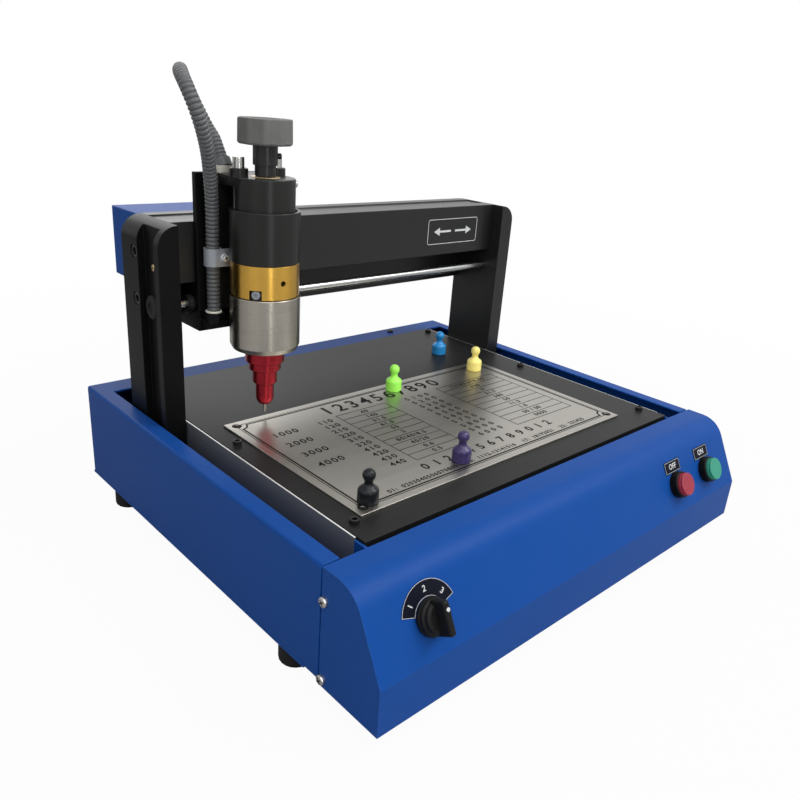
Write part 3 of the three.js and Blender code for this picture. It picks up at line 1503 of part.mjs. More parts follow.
addPiece(gantry, "hose_clip", makeClip(), "steel");
addPiece(gantry, "hose_end_fitting", makeEndFitting(), "nylon");

// Push-pin magnets that hold the blank on the table
const magnetRadius = 6;
const magnetBaseHeight = 9.6;
const magnetWaist = 2.5;
const magnetBall = 3.75;
const magnetHeight = 20;
const magnetFlankShare = 0.75;
const magnetRiseShare = 0.88;
const magnetCrownShare = 0.93;
const magnetNeckShare = 0.62;
const magnetFillet = 1;
const magnetFacets = 16;
const plateHalfShare = 0.5;
const looseMagnetGap = 34.8;
const magnetPlaces = {
  blue: { shareX: 0.952, shareY: 1, finish: "magnetBlue", behind: looseMagnetGap, seatZ: tableTopZ },
  green: { shareX: 0.5623, shareY: 0.9154, finish: "magnetGreen", behind: 0, seatZ: plateTopZ },
  yellow: { shareX: 0.9222, shareY: 0.9026, finish: "magnetYellow", behind: 0, seatZ: plateTopZ },
  purple: { shareX: 0.3769, shareY: 0.1066, finish: "magnetPurple", behind: 0, seatZ: plateTopZ },
  black: { shareX: 0.0507, shareY: 0.0684, finish: "magnetBlack", behind: 0, seatZ: plateTopZ },
};

function makeMagnet() {
  const ballZ = magnetHeight - magnetBall;
  const profile = [
    [0, 0], [magnetRadius, 0], [magnetRadius, magnetBaseHeight * magnetFlankShare],
    [magnetRadius * magnetCrownShare, magnetBaseHeight * magnetRiseShare],
    [magnetWaist + magnetFillet, magnetBaseHeight],
    [magnetWaist, magnetBaseHeight + magnetWaist / 2],
  ];
  const ballSteps = 6;
  const startAngle = -Math.acos(magnetNeckShare);
  for (let step = 0; step < ballSteps; step += 1) {
    const angle = startAngle + (step / ballSteps) * (Math.PI / 2 - startAngle);
    profile.push([magnetBall * Math.cos(angle), ballZ + magnetBall * Math.sin(angle)]);
  }
  profile.push([0, magnetHeight]);
  return turned(profile, magnetFacets);
}

for (const [colour, place] of Object.entries(magnetPlaces)) {
  const magnet = addPiece(machine, `magnet_${colour}`, makeMagnet(), place.finish);
  magnet.position.set(
    plateX + (place.shareX - plateHalfShare) * plateLength,
    plateY + (place.shareY - plateHalfShare) * plateWidth + place.behind,
    place.seatZ,
  );
}

// The selector reaches out in front of the console, so the middle of the whole outline lies further forward
const selectorReach = 8;
machine.position.set(0, selectorReach / 2, 0);

export default machine;
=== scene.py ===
import math
import bmesh
import bpy
from mathutils import Euler, Matrix, Vector


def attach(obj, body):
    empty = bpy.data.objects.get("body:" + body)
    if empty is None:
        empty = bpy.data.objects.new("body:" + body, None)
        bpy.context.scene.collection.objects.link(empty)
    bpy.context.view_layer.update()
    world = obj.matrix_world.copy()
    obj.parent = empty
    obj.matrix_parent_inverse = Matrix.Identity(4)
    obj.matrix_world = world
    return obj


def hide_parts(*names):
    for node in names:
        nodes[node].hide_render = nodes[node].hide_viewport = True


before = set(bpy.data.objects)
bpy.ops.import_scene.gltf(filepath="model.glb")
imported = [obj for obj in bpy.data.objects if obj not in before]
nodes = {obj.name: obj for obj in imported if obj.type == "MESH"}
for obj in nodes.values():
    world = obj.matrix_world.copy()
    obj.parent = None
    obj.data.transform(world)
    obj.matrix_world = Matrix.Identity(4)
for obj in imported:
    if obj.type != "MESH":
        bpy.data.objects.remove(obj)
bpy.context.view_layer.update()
scene = bpy.context.scene
scene.view_settings.view_transform = "Standard"

mm = 0.001
layoutShift = 4.0  # the part's origin lies this far in front of the middle of the machine's layout
clearOff = 0.05  # what lies on a face stands this far off it
zAxis = Vector((0, 0, 1))
quarterTurn = math.pi / 2
bothSides = (-1, 1)


def at(x, y, z):
    return Vector((x, y + layoutShift, z)) * mm


def moved(x, y, z=0.0):
    return Matrix.Translation(Vector((x, y, z)) * mm)


def turnedBy(angle, axis="Z"):
    return Matrix.Rotation(angle, 4, axis)


def take(form, *names):
    return [form[name] for name in names]


# Camera, as the photograph was taken

cameraView = {
    "place": (-361.5, -355.8, 291.5), "turn": (68.206, -3.937, -42.428),
    "lens": 34.04, "sensor": 36, "nearest": 0.01,
}


def addCamera(view):
    data = bpy.data.cameras.new("camera")
    data.lens, data.sensor_width, data.clip_start = take(view, "lens", "sensor", "nearest")
    camera = bpy.data.objects.new("camera", data)
    camera.location = at(*view["place"])
    camera.rotation_euler = Euler([math.radians(angle) for angle in view["turn"]], "XYZ")
    scene.collection.objects.link(camera)
    scene.camera = camera


addCamera(cameraView)


# Shader nodes: what goes into one is a number, a colour or the socket of another node

def fillInputs(tree, node, values):
    for label, value in values.items():
        if isinstance(value, bpy.types.NodeSocket):
            tree.links.new(value, node.inputs[label])
        else:
            node.inputs[label].default_value = value
    return node


def addNode(tree, kind, values=None, **settings):
    node = tree.nodes.new("ShaderNode" + kind)
    for name, setting in settings.items():
        setattr(node, name, setting)
    return fillInputs(tree, node, values or {})


def mathNode(tree, operation, first, second):
    return addNode(tree, "Math", {0: first, 1: second}, operation=operation).outputs[0]


def rampNode(tree, value, low, high, toLow=0.0, toHigh=1.0):
    limits = {"From Min": low, "From Max": high, "To Min": toLow, "To Max": toHigh}
    return addNode(tree, "MapRange", {"Value": value, **limits}).outputs[0]


def noiseNode(tree, vector, scale, detail=3.0):
    return addNode(tree, "TexNoise", {"Vector": vector, "Scale": scale, "Detail": detail}).outputs[0]


def mixColour(tree, factor, first, second):
    return addNode(tree, "Mix", {0: factor, 6: first, 7: second}, data_type="RGBA").outputs[2]


def newGroup(name, inputs, outputs):
    tree = bpy.data.node_groups.new(name, "ShaderNodeTree")
    for label, value in inputs.items():
        kind = "NodeSocketVector" if isinstance(value, tuple) else "NodeSocketFloat"
        tree.interface.new_socket(label, in_out="INPUT", socket_type=kind).default_value = value
    for label in outputs:
        tree.interface.new_socket(label, in_out="OUTPUT", socket_type="NodeSocketFloat")
    return tree, tree.nodes.new("NodeGroupInput").outputs, tree.nodes.new("NodeGroupOutput")


grainForm = {"broadShare": 0.12, "fineDetail": 5.0}
# Edges for the lighter edge colour are found from the Bevel normal and broken by noise. The lighter colour
# there is partly wear and partly a painted highlight where edges catch the light
wearAndHighlightForm = {
    "reach": 0.0004, "samples": 4, "bend": (0.99, 0.9), "noise": 500.0, "broken": (0.35, 0.6, 0.35, 1.0),
}
dustForm = {
    "colour": (0.42, 0.41, 0.4), "upward": (0.2, 1.0),
    "patchNoise": (45.0, 6.0), "patches": (0.35, 0.75), "patchShare": 0.6,
    "speckNoise": (2200.0, 2.0), "specks": (0.62, 0.75),
}


def makeGrainGroup(form):
    tree, source, sink = newGroup("grain", {"Scale": 300.0, "Stretch": (1, 1, 1)}, ["Broad", "Fine"])
    place = addNode(tree, "TexCoord").outputs["Object"]
    longer = {0: place, 1: source["Stretch"]}
    stretched = addNode(tree, "VectorMath", longer, operation="MULTIPLY").outputs[0]
    broadScale = mathNode(tree, "MULTIPLY", source["Scale"], form["broadShare"])
    fillInputs(tree, sink, {"Broad": noiseNode(tree, stretched, broadScale),
                            "Fine": noiseNode(tree, stretched, source["Scale"], form["fineDetail"])})
    return tree


def makeWearGroup(form):
    tree, source, sink = newGroup("edgeWearAndHighlight", {"Amount": 0.3}, ["WearAndHighlight"])
    rounded = addNode(tree, "Bevel", {"Radius": form["reach"]}, samples=form["samples"]).outputs["Normal"]
    normal = addNode(tree, "NewGeometry").outputs["Normal"]
    bend = addNode(tree, "VectorMath", {0: rounded, 1: normal}, operation="DOT_PRODUCT").outputs["Value"]
    place = addNode(tree, "TexCoord").outputs["Object"]
    broken = rampNode(tree, noiseNode(tree, place, form["noise"]), *form["broken"])
    wornAndHighlight = mathNode(tree, "MULTIPLY", rampNode(tree, bend, *form["bend"]), broken)
    fillInputs(tree, sink, {"WearAndHighlight": mathNode(tree, "MULTIPLY", wornAndHighlight, source["Amount"])})
    return tree


def makeDustGroup(form):
    tree, source, sink = newGroup("dust", {"Amount": 0.1}, ["Dust"])
    place = addNode(tree, "TexCoord").outputs["Object"]
    facing = addNode(tree, "SeparateXYZ", {0: addNode(tree, "NewGeometry").outputs["Normal"]})
    upward = rampNode(tree, facing.outputs["Z"], *form["upward"])
    patches = rampNode(tree, noiseNode(tree, place, *form["patchNoise"]), *form["patches"])
    specks = rampNode(tree, noiseNode(tree, place, *form["speckNoise"]), *form["specks"])
    both = mathNode(tree, "ADD", mathNode(tree, "MULTIPLY", patches, form["patchShare"]), specks)
    amount = mathNode(tree, "MULTIPLY", both, source["Amount"])
    fillInputs(tree, sink, {"Dust": mathNode(tree, "MULTIPLY", amount, upward)})
    return tree


grainGroup = makeGrainGroup(grainForm)
wearAndHighlightGroup = makeWearGroup(wearAndHighlightForm)
dustGroup = makeDustGroup(dustForm)


# Finishes, each with its slot of the part; a look that leaves a value out has it from plainLook

plainLook = {"scale": 900.0, "stretch": (1, 1, 1), "variation": 0.12, "spread": 0.06, "metallic": 0.0,
             "specular": 0.5, "bump": 0.15, "turned": 0.0, "wearAndHighlight": 0.0, "wornAndHighlight": (0.5, 0.5, 0.5), "dust": 0.0}
grainBand = (0.3, 0.7)
reliefDepth = 0.00005
turnedAcross = 0.25
anodisedLook = {"slot": "black_anodised", "scale": 2400.0, "bump": 0.05, "variation": 0.1, "spread": 0.03,
                "dust": 0.01, "wearAndHighlight": 0.3}
turnedLook = {"roughness": 0.3, "metallic": 1.0, "scale": 4200.0, "stretch": (0.01, 0.01, 1), "turned": 0.75}
groundLook = {"scale": 3400.0, "stretch": (0.02, 0.02, 1), "turned": 0.6}
pinLook = {"roughness": 0.3, "variation": 0.04, "bump": 0.04, "specular": 0.35}
darkPinLook = {"roughness": 0.28, "variation": 0.05, "bump": 0.03, "spread": 0.02}
capLook = {"roughness": 0.36, "variation": 0.06, "specular": 0.3}
printLook = {"slot": "black_plastic", "scale": 1500.0, "specular": 0.08}

finishLooks = {
    # the lighter blue along its edges is mostly a painted highlight line
    "bluePaint": dict(
        slot="blue_paint", colour=(0.006, 0.062, 0.285), roughness=0.42, specular=0.08, scale=1400.0,
        bump=0.07, variation=0.03, dust=0.02, wearAndHighlight=0.5, wornAndHighlight=(0.06, 0.2, 0.6)),
    "blackAnodised": dict(
        anodisedLook, colour=(0.0045, 0.0046, 0.0048), roughness=0.36, specular=0.09,
        wornAndHighlight=(0.07, 0.07, 0.075)),
    # a lighter black than blackAnodised, used on the beam, and on the right post as painted light
    "beamBlackAndPaintedLight": dict(
        anodisedLook, colour=(0.0105, 0.0107, 0.0105), roughness=0.34, specular=0.38,
        wornAndHighlight=(0.08, 0.08, 0.085)),
    "tableBlack": dict(
        slot="black_anodised", colour=(0.008, 0.0082, 0.0085), roughness=0.42, specular=0.15, scale=1800.0,
        bump=0.05, spread=0.04, dust=0.015, wearAndHighlight=0.3, wornAndHighlight=(0.06, 0.06, 0.065)),
    "headBlack": dict(
        groundLook, slot="black_anodised", colour=(0.009, 0.0088, 0.0082), roughness=0.34, specular=0.3,
        bump=0.02, variation=0.06, spread=0.03, wearAndHighlight=0.25, wornAndHighlight=(0.1, 0.1, 0.1)),
    "turnedSteel": dict(
        turnedLook, slot="brushed_steel", colour=(0.37, 0.345, 0.3), bump=0.03, variation=0.035,
        spread=0.035),
    "plateSteel": dict(
        slot="plate_steel", colour=(0.4, 0.385, 0.35), roughness=0.34, metallic=1.0, scale=2600.0,
        stretch=(0.015, 1, 1), bump=0.1, variation=0.05),
    "sheetSteel": dict(
        slot="brushed_steel", colour=(0.24, 0.255, 0.285), roughness=0.5, metallic=0.7, scale=2600.0,
        stretch=(1, 0.01, 1), bump=0.05, variation=0.1, spread=0.05, wearAndHighlight=0.7),
    # bright steel as a painted highlight: on the guard strips' upward faces, and on the clip screw for its
    # bright reflection
    "paintedHighlightSteel": dict(
        slot="brushed_steel", colour=(0.8, 0.8, 0.79), roughness=0.4, metallic=0.4, scale=1500.0,
        stretch=(1, 0.02, 1), bump=0.05, variation=0.08),
    "zincClip": dict(
        slot="brushed_steel", colour=(0.28, 0.3, 0.33), roughness=0.5, metallic=0.35, bump=0.06,
        variation=0.06, wearAndHighlight=0.3, wornAndHighlight=(0.7, 0.7, 0.7)),
    "groundSteel": dict(
        groundLook, slot="hard_chrome", colour=(0.5, 0.5, 0.48), roughness=0.3, metallic=1.0, bump=0.03,
        variation=0.06, spread=0.04),
    "hardChrome": dict(
        slot="hard_chrome", colour=(0.4, 0.41, 0.4), roughness=0.26, metallic=1.0, scale=3000.0,
        stretch=(0.02, 1, 1), bump=0.02, variation=0.03, spread=0.03),
    "goldAnodised": dict(
        turnedLook, slot="gold_anodised", colour=(0.62, 0.365, 0.07), bump=0.015, variation=0.025,
        spread=0.03, wearAndHighlight=0.3, wornAndHighlight=(0.7, 0.5, 0.25)),
    "redAnodised": dict(
        groundLook, slot="red_anodised", colour=(0.34, 0.017, 0.027), roughness=0.3, metallic=0.85, bump=0.02,
        variation=0.03, spread=0.04, wearAndHighlight=0.2, wornAndHighlight=(0.55, 0.1, 0.14)),
    "brass": dict(slot="brass", colour=(0.5, 0.38, 0.2), roughness=0.35, metallic=0.8, scale=1800.0),
    "aluminium": dict(
        slot="bare_aluminium", colour=(0.42, 0.43, 0.44), roughness=0.42, metallic=1.0, scale=1500.0,
        stretch=(0.05, 1, 1)),
    "zincSheet": dict(
        slot="zinc_steel", colour=(0.36, 0.38, 0.39), roughness=0.45, metallic=1.0, scale=260.0,
        variation=0.25),
    "blackPlastic": dict(
        slot="black_plastic", colour=(0.007, 0.007, 0.0075), roughness=0.42, specular=0.12, scale=2600.0,
        bump=0.2, dust=0.02),
    "knobPlastic": dict(
        slot="dark_knob", colour=(0.125, 0.125, 0.12), roughness=0.66, specular=0.25, scale=2200.0, bump=0.4,
        dust=0.1, wearAndHighlight=0.4, wornAndHighlight=(0.19, 0.19, 0.18)),
    "hubPlastic": dict(
        slot="dark_knob", colour=(0.016, 0.016, 0.016), roughness=0.3, specular=0.35, scale=2200.0),
    "hosePlastic": dict(
        slot="hose_plastic", colour=(0.082, 0.086, 0.089), roughness=0.42, specular=0.4, scale=1500.0,
        bump=0.03, variation=0.08, dust=0.03),
    "blackRubber": dict(
        slot="black_rubber", colour=(0.012, 0.012, 0.012), roughness=0.8, specular=0.2, bump=0.4, dust=0.04),
    "paleNylon": dict(slot="pale_nylon", colour=(0.7, 0.68, 0.6), roughness=0.45, variation=0.06),
    "redCap": dict(capLook, slot="red_plastic", colour=(0.3, 0.023, 0.045)),
    "greenCap": dict(capLook, slot="green_plastic", colour=(0.026, 0.27, 0.175)),
    "magnetBlue": dict(pinLook, slot="magnet_blue", colour=(0.02, 0.25, 0.6)),
    "magnetGreen": dict(pinLook, slot="magnet_green", colour=(0.36, 1.0, 0.11)),
    "magnetYellow": dict(pinLook, slot="magnet_yellow", colour=(0.98, 0.82, 0.24)),
    "magnetPurple": dict(darkPinLook, slot="magnet_purple", colour=(0.036, 0.024, 0.102), specular=0.35),
    "magnetBlack": dict(darkPinLook, slot="magnet_black", colour=(0.008, 0.009, 0.012), specular=0.2),
    "boardGreen": dict(
        slot="board_green", colour=(0.01, 0.11, 0.04), roughness=0.35, scale=500.0, variation=0.2),
    "copperWire": dict(
        slot="copper_winding", colour=(0.4, 0.14, 0.05), roughness=0.35, metallic=0.7, scale=1800.0,
        stretch=(0.03, 0.03, 1)),
    "signWhite": dict(slot="plate_steel", colour=(0.6, 0.61, 0.62), roughness=0.45, variation=0.04),
    "signBlack": dict(printLook, colour=(0.0035, 0.0045, 0.011), roughness=0.5, variation=0.15),
    # black for the nameplate's etched print, and as painted shade in the screw slots
    "etchedBlackAndSlotShade": dict(printLook, colour=(0.008, 0.0075, 0.007), roughness=0.6, variation=0.3),
    "screwSteel": dict(
        slot="brushed_steel", colour=(0.5, 0.49, 0.47), roughness=0.25, metallic=1.0, scale=1800.0),
    "screwBlack": dict(
        slot="black_anodised", colour=(0.02, 0.02, 0.022), roughness=0.35, metallic=0.6, scale=1800.0),
}


def shaded(colour, share=1.0):
    return tuple(min(channel * share, 1) for channel in colour) + (1,)


def newFinish(name, look):
    material = bpy.data.materials.new(name)
    material.use_nodes = True
    tree = material.node_tree
    colour, variation, rough, spread = take(look, "colour", "variation", "roughness", "spread")
    grain = addNode(tree, "Group", node_tree=grainGroup)
    fillInputs(tree, grain, {"Scale": look["scale"], "Stretch": look["stretch"]})
    darker, lighter = [shaded(colour, 1 + sign * variation) for sign in bothSides]
    base = mixColour(tree, grain.outputs["Broad"], darker, lighter)
    # layers on the base colour: lighter edges, partly wear and partly painted highlight, then dust
    for group, amount, layer in ((wearAndHighlightGroup, look["wearAndHighlight"], look["wornAndHighlight"]),
                                 (dustGroup, look["dust"], dustForm["colour"])):
        if amount:
            mask = addNode(tree, "Group", {"Amount": amount}, node_tree=group).outputs[0]
            base = mixColour(tree, mask, base, shaded(layer))
    fine = grain.outputs["Fine"]
    bump = addNode(tree, "Bump", {"Strength": look["bump"], "Distance": reliefDepth, "Height": fine})
    shader = fillInputs(tree, tree.nodes["Principled BSDF"], {
        "Base Color": base, "Roughness": rampNode(tree, fine, *grainBand, rough - spread, rough + spread),
        "Metallic": look["metallic"], "Specular IOR Level": look["specular"],
        "Normal": bump.outputs["Normal"]})
    if look["turned"]:
        around = addNode(tree, "Tangent", direction_type="RADIAL", axis="Z").outputs[0]
        fillInputs(tree, shader, {"Tangent": around, "Anisotropic": look["turned"],
                                  "Anisotropic Rotation": turnedAcross})
    return material


finishes = {name: newFinish(name, plainLook | look) for name, look in finishLooks.items()}
print("finishes:", len(finishes))


# Mesh helpers

sharpAngle = math.radians(33)
flatAngle = math.radians(1.5)
sameSpot = {"turned": 1e-6, "solid": 2e-6}


def softenEdges(obj, width, segments):
    if width:
        bevel = obj.modifiers.new("softEdges", "BEVEL")
        bevel.width = width * mm
        bevel.segments = segments
        bevel.limit_method = "ANGLE"
        bevel.angle_limit = sharpAngle
        bevel.harden_normals = True
    obj.modifiers.new("flatFaces", "WEIGHTED_NORMAL").keep_sharp = True


def meshOf(bm, name):
    mesh = bpy.data.meshes.new(name)
    bm.to_mesh(mesh)
    bm.free()
    return mesh


def linked(name, data):
    obj = bpy.data.objects.new(name, data)
    scene.collection.objects.link(obj)
    return obj


def keepPiece(bm, name, finish, body, soft=0.0, stands=(), segments=2):
    mesh = meshOf(bm, name)
    for face in mesh.polygons:
        face.use_smooth = True
    mesh.set_sharp_from_angle(angle=sharpAngle)
    obj = linked(name, mesh)
    mesh.materials.append(finishes[finish])
    softenEdges(obj, soft, segments)
    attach(obj, body)
    if stands:
        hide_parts(*stands)
    return obj


def refinish(obj, finish, chosen):
    obj.data.materials.append(finishes[finish])
    for face in obj.data.polygons:
        if chosen(face):
            face.material_index = len(obj.data.materials) - 1


def joinInto(bm, part, matrix):
    bmesh.ops.transform(part, matrix=matrix, verts=part.verts)
    mesh = meshOf(part, "part")
    bm.from_mesh(mesh)
    bpy.data.meshes.remove(mesh)


def latheInto(bm, profile, matrix, steps):
    part = bmesh.new()
    points = [part.verts.new((radius * mm, 0, height * mm)) for radius, height in profile]
    edges = [part.edges.new(pair) for pair in zip(points, points[1:])]
    bmesh.ops.spin(part, geom=points + edges, cent=(0, 0, 0), axis=(0, 0, 1), angle=2 * math.pi,
                   steps=steps, use_merge=True, use_duplicate=False)
    bmesh.ops.remove_doubles(part, verts=part.verts, dist=sameSpot["turned"])
    bmesh.ops.recalc_face_normals(part, faces=part.faces)
    joinInto(bm, part, matrix)


def turnPiece(profile, matrix, steps, name, finish, body, soft=0.0, stands=()):
    bm = bmesh.new()
    latheInto(bm, profile, matrix, steps)
    return keepPiece(bm, name, finish, body, soft, stands)


def barProfile(radius, low, high, lip):
    return [(0, low), (radius - lip, low), (radius, low + lip), (radius, high - lip), (radius - lip, high),
            (0, high)]


def tubeProfile(bore, radius, low, high, lip):
    return [(bore, low), *barProfile(radius, low, high, lip)[1:-1], (bore, high), (bore, low)]


def socketProfile(radius, height, socket, depth, lip, sunk):
    across, down = lip
    return [(0, -sunk), (radius, -sunk), (radius, height - down), (radius - across, height),
            (socket, height), (socket, height - depth), (0, height - depth)]


def domeProfile(radius, height, sunk, shares):
    dome = [(radius * across, height * up) for across, up in shares]
    return [(0, -sunk), (radius, -sunk), *dome, (0, height)]


def blockOf(low, high):
    part = bmesh.new()
    bmesh.ops.create_cube(part, size=1)
    low, high = Vector(low) * mm, Vector(high) * mm
    bmesh.ops.scale(part, vec=high - low, verts=part.verts)
    bmesh.ops.translate(part, vec=(low + high) / 2, verts=part.verts)
    return part


def roundEdges(part, width, segments=2):
    bmesh.ops.bevel(part, geom=part.edges[:], offset=width * mm, segments=segments, profile=0.5,
                    affect="EDGES", material=-1)


def boxInto(bm, low, high, matrix, bevel=0.0):
    part = blockOf(low, high)
    if bevel:
        roundEdges(part, bevel)
    joinInto(bm, part, matrix)


def outlineInto(bm, outline, low, high, matrix):
    part = bmesh.new()
    face = part.faces.new([part.verts.new((x * mm, y * mm, low * mm)) for x, y in outline])
    raised = bmesh.ops.extrude_face_region(part, geom=[face])
    lifted = [item for item in raised["geom"] if isinstance(item, bmesh.types.BMVert)]
    bmesh.ops.translate(part, vec=(0, 0, (high - low) * mm), verts=lifted)
    bmesh.ops.recalc_face_normals(part, faces=part.faces)
    joinInto(bm, part, matrix)


def placed(point, direction=zAxis, turn=0.0):
    turned = Vector(direction).to_track_quat("Z", "Y").to_matrix().to_4x4()
    return Matrix.Translation(at(*point)) @ turned @ turnedBy(turn)


def dressNode(name, finish, body, soft, segments=2):
    bm = bmesh.new()
    bm.from_mesh(nodes[name].data)
    bmesh.ops.remove_doubles(bm, verts=bm.verts, dist=sameSpot["solid"])
    bmesh.ops.dissolve_limit(bm, angle_limit=flatAngle, verts=bm.verts, edges=bm.edges)
    return keepPiece(bm, name + "_dressed", finish, body, soft, [name], segments)


def coatNode(name, finish):
    data = nodes[name].data
    data.materials.clear()
    data.materials.append(finishes[finish])


# The hose comes first, because it decides how far the model reaches. Its route is from the head's axis

headAxis = (-102.1, 42.5)
headPlace = Matrix.Translation(at(*headAxis, 0))
hoseForm = {
    "radius": 4.1, "rootShare": 0.84, "crest": 1.25, "pitch": 2.6, "ringsPerRib": 8, "sides": 28,
    "route": [
        (-23.7, 22.5, 157.3), (-23.7, 22.5, 168), (-23.7, 22.5, 182), (-23.7, 22.5, 194), (-23.8, 21.9, 210),
        (-25.1, 19.5, 226), (-28.9, 14, 242), (-34.3, 7, 256.5), (-39.7, 2.3, 268.5), (-43.9, 1.8, 279.5),
        (-45.7, 7, 289.5), (-43.2, 18, 296), (-36.4, 31, 297.5), (-28.7, 42, 293), (-21.4, 48, 284.5),
        (-15.9, 48.3, 275), (-12.9, 44, 266), (-11.9, 38.8, 260.7), (-11.9, 34.4, 254.9), (-11.9, 30, 249),
    ],
}


def curveThrough(points, samples=24):
    line = []
    padded = [points[0] * 2 - points[1]] + points + [points[-1] * 2 - points[-2]]
    for index in range(1, len(padded) - 2):
        p0, p1, p2, p3 = padded[index - 1:index + 3]
        knots = [0.0]
        for a, b in ((p0, p1), (p1, p2), (p2, p3)):
            knots.append(knots[-1] + math.sqrt((b - a).length))
        t0, t1, t2, t3 = knots
        for sample in range(samples):
            t = t1 + (t2 - t1) * sample / samples
            a1 = p0.lerp(p1, (t - t0) / (t1 - t0))
            a2 = p1.lerp(p2, (t - t1) / (t2 - t1))
            a3 = p2.lerp(p3, (t - t2) / (t3 - t2))
            b1 = a1.lerp(a2, (t - t0) / (t2 - t0))
            b2 = a2.lerp(a3, (t - t1) / (t3 - t1))
            line.append(b1.lerp(b2, (t - t1) / (t2 - t1)))
    line.append(points[-1])
    return line


def lengthOf(line):
    return sum((b - a).length for a, b in zip(line, line[1:]))


def spacedAlong(line, count):
    whole = lengthOf(line)
    spaced, walked, index = [line[0]], 0.0, 0
    for step in range(1, count):
        target = whole * step / count
        while walked + (line[index + 1] - line[index]).length < target:
            walked += (line[index + 1] - line[index]).length
            index += 1
        part = (target - walked) / (line[index + 1] - line[index]).length
        spaced.append(line[index].lerp(line[index + 1], part))
    spaced.append(line[-1])
    return spaced


def makeHose(form):
    line = curveThrough([at(headAxis[0] + x, headAxis[1] + y, z) for x, y, z in form["route"]])
    root, perRib = take(form, "rootShare", "ringsPerRib")
    ribs = int(lengthOf(line) / (form["pitch"] * mm))
    stations = spacedAlong(line, ribs * perRib)
    bm = bmesh.new()
    ring = bmesh.ops.create_circle(bm, cap_ends=True, radius=form["radius"] * root * mm,
                                   segments=form["sides"])["verts"]
    bmesh.ops.translate(bm, vec=stations[0], verts=ring)
    edges = bm.edges[:]
    heading, oldRadius = zAxis.copy(), root
    for index in range(1, len(stations)):
        centre, before = stations[index], stations[index - 1]
        ahead = (stations[min(index + 1, len(stations) - 1)] - before).normalized()
        grown = bmesh.ops.extrude_edge_only(bm, edges=edges)["geom"]
        ring = [item for item in grown if isinstance(item, bmesh.types.BMVert)]
        edges = [item for item in grown if isinstance(item, bmesh.types.BMEdge)]
        wave = math.sin(math.pi * (index % perRib) / perRib)
        radius = root + (1 - root) * min(1, form["crest"] * wave)
        turn = heading.rotation_difference(ahead).to_matrix().to_4x4()
        grow = Matrix.Scale(radius / oldRadius, 4)
        move = Matrix.Translation(centre) @ turn @ grow @ Matrix.Translation(-before)
        bmesh.ops.transform(bm, matrix=move, verts=ring)
        heading, oldRadius = ahead, radius
    bmesh.ops.contextual_create(bm, geom=edges)
    hose = keepPiece(bm, "ribbed_hose", "hosePlastic", "carriage", 0.0, ["hose"])
    print("hose:", ribs, "ribs,", round(lengthOf(line) / mm, 1), "mm")


makeHose(hoseForm)


# Case, console, table and gantry: the solids with their finish and soft edges

dressedNodes = (
    ("case_shell", "bluePaint", "base", 0.5), ("console_shell", "bluePaint", "base", 0.6),
    ("motor_cover", "bluePaint", "gantry", 0.9), ("table_plate", "tableBlack", "base", 0.4),
    ("nameplate", "plateSteel", "base", 0.15), ("base_plate", "bluePaint", "base", 0.2),
    ("power_inlet", "blackPlastic", "base", 0.5), ("selector_body", "blackPlastic", "base", 0.5),
    ("guard_strip_left", "sheetSteel", "base", 0.15), ("guard_strip_right", "sheetSteel", "base", 0.15),
    ("foot_front_left", "blackRubber", "base", 0.6, 3), ("foot_front_right", "blackRubber", "base", 0.6, 3),
    ("foot_rear_left", "blackRubber", "base", 0.6, 3), ("foot_rear_right", "blackRubber", "base", 0.6, 3),
    # the right post takes the lighter black as painted light
    ("post_left", "blackAnodised", "gantry", 0.4), ("post_right", "beamBlackAndPaintedLight", "gantry", 0.4),
    ("beam", "beamBlackAndPaintedLight", "gantry", 0.4), ("carriage_block", "blackAnodised", "carriage", 0.4),
    ("x_motor", "blackAnodised", "gantry", 0.4), ("hose_clip", "zincClip", "carriage", 0.4),
    ("cross_member", "blackAnodised", "gantry", 0.4), ("hose_end_fitting", "paleNylon", "carriage", 0.4),
    ("y_guide_rod_left", "hardChrome", "base", 0.2), ("y_guide_rod_right", "hardChrome", "base", 0.2),
)
coatedNodes = {
    "table_frame": "aluminium", "y_motor": "blackAnodised", "lead_screw": "turnedSteel",
    "power_supply": "zincSheet", "control_board": "boardGreen", "gantry_bearing_left": "aluminium",
    "gantry_bearing_right": "aluminium", "lead_nut": "brass", "x_drive_pulley": "aluminium",
    "x_idler_pulley": "aluminium", "x_belt": "blackRubber", "solenoid_coil": "copperWire",
    "needle": "turnedSteel", "needle_spring": "turnedSteel",
}
fittingSeat = 246.4 * mm
upFacing = 0.9

dressed = {row[0]: dressNode(*row) for row in dressedNodes}
# the guard strips' upward faces get bright steel as a painted highlight
for side in ("left", "right"):
    refinish(dressed["guard_strip_" + side], "paintedHighlightSteel", lambda face: face.normal.z > upFacing)
refinish(dressed["hose_end_fitting"], "hosePlastic", lambda face: face.center.z > fittingSeat)
for name, finish in coatedNodes.items():
    coatNode(name, finish)
print("case and gantry dressed")


# Rods of the gantry and the bearing on the front rod

rodForm = {"radius": 3, "half": 157, "lip": 0.4,
           "places": {"x_guide_rod_front": (81.6, 159.4), "x_guide_rod_upper": (90.3, 195.8)}}
bearingForm = {"bore": 3.15, "radius": 6, "half": 35, "lip": 0.6}


def makeRods(form):
    radius, half, lip = take(form, "radius", "half", "lip")
    for name, place in form["places"].items():
        turnPiece(barProfile(radius, -half, half, lip), placed((0, *place), (1, 0, 0)), 48,
                  name + "_turned", "hardChrome", "gantry", 0.0, [name])


def makeBearing(form):
    bore, radius, half, lip = take(form, "bore", "radius", "half", "lip")
    middle = (headAxis[0], *rodForm["places"]["x_guide_rod_front"])
    turnPiece(tubeProfile(bore, radius, -half, half, lip), placed(middle, (1, 0, 0)), 64,
              "bearing_sleeve", "hubPlastic", "carriage", 0.0, ["carriage_bearing"])


makeRods(rodForm)
makeBearing(bearingForm)


# Marking head, round its own axis

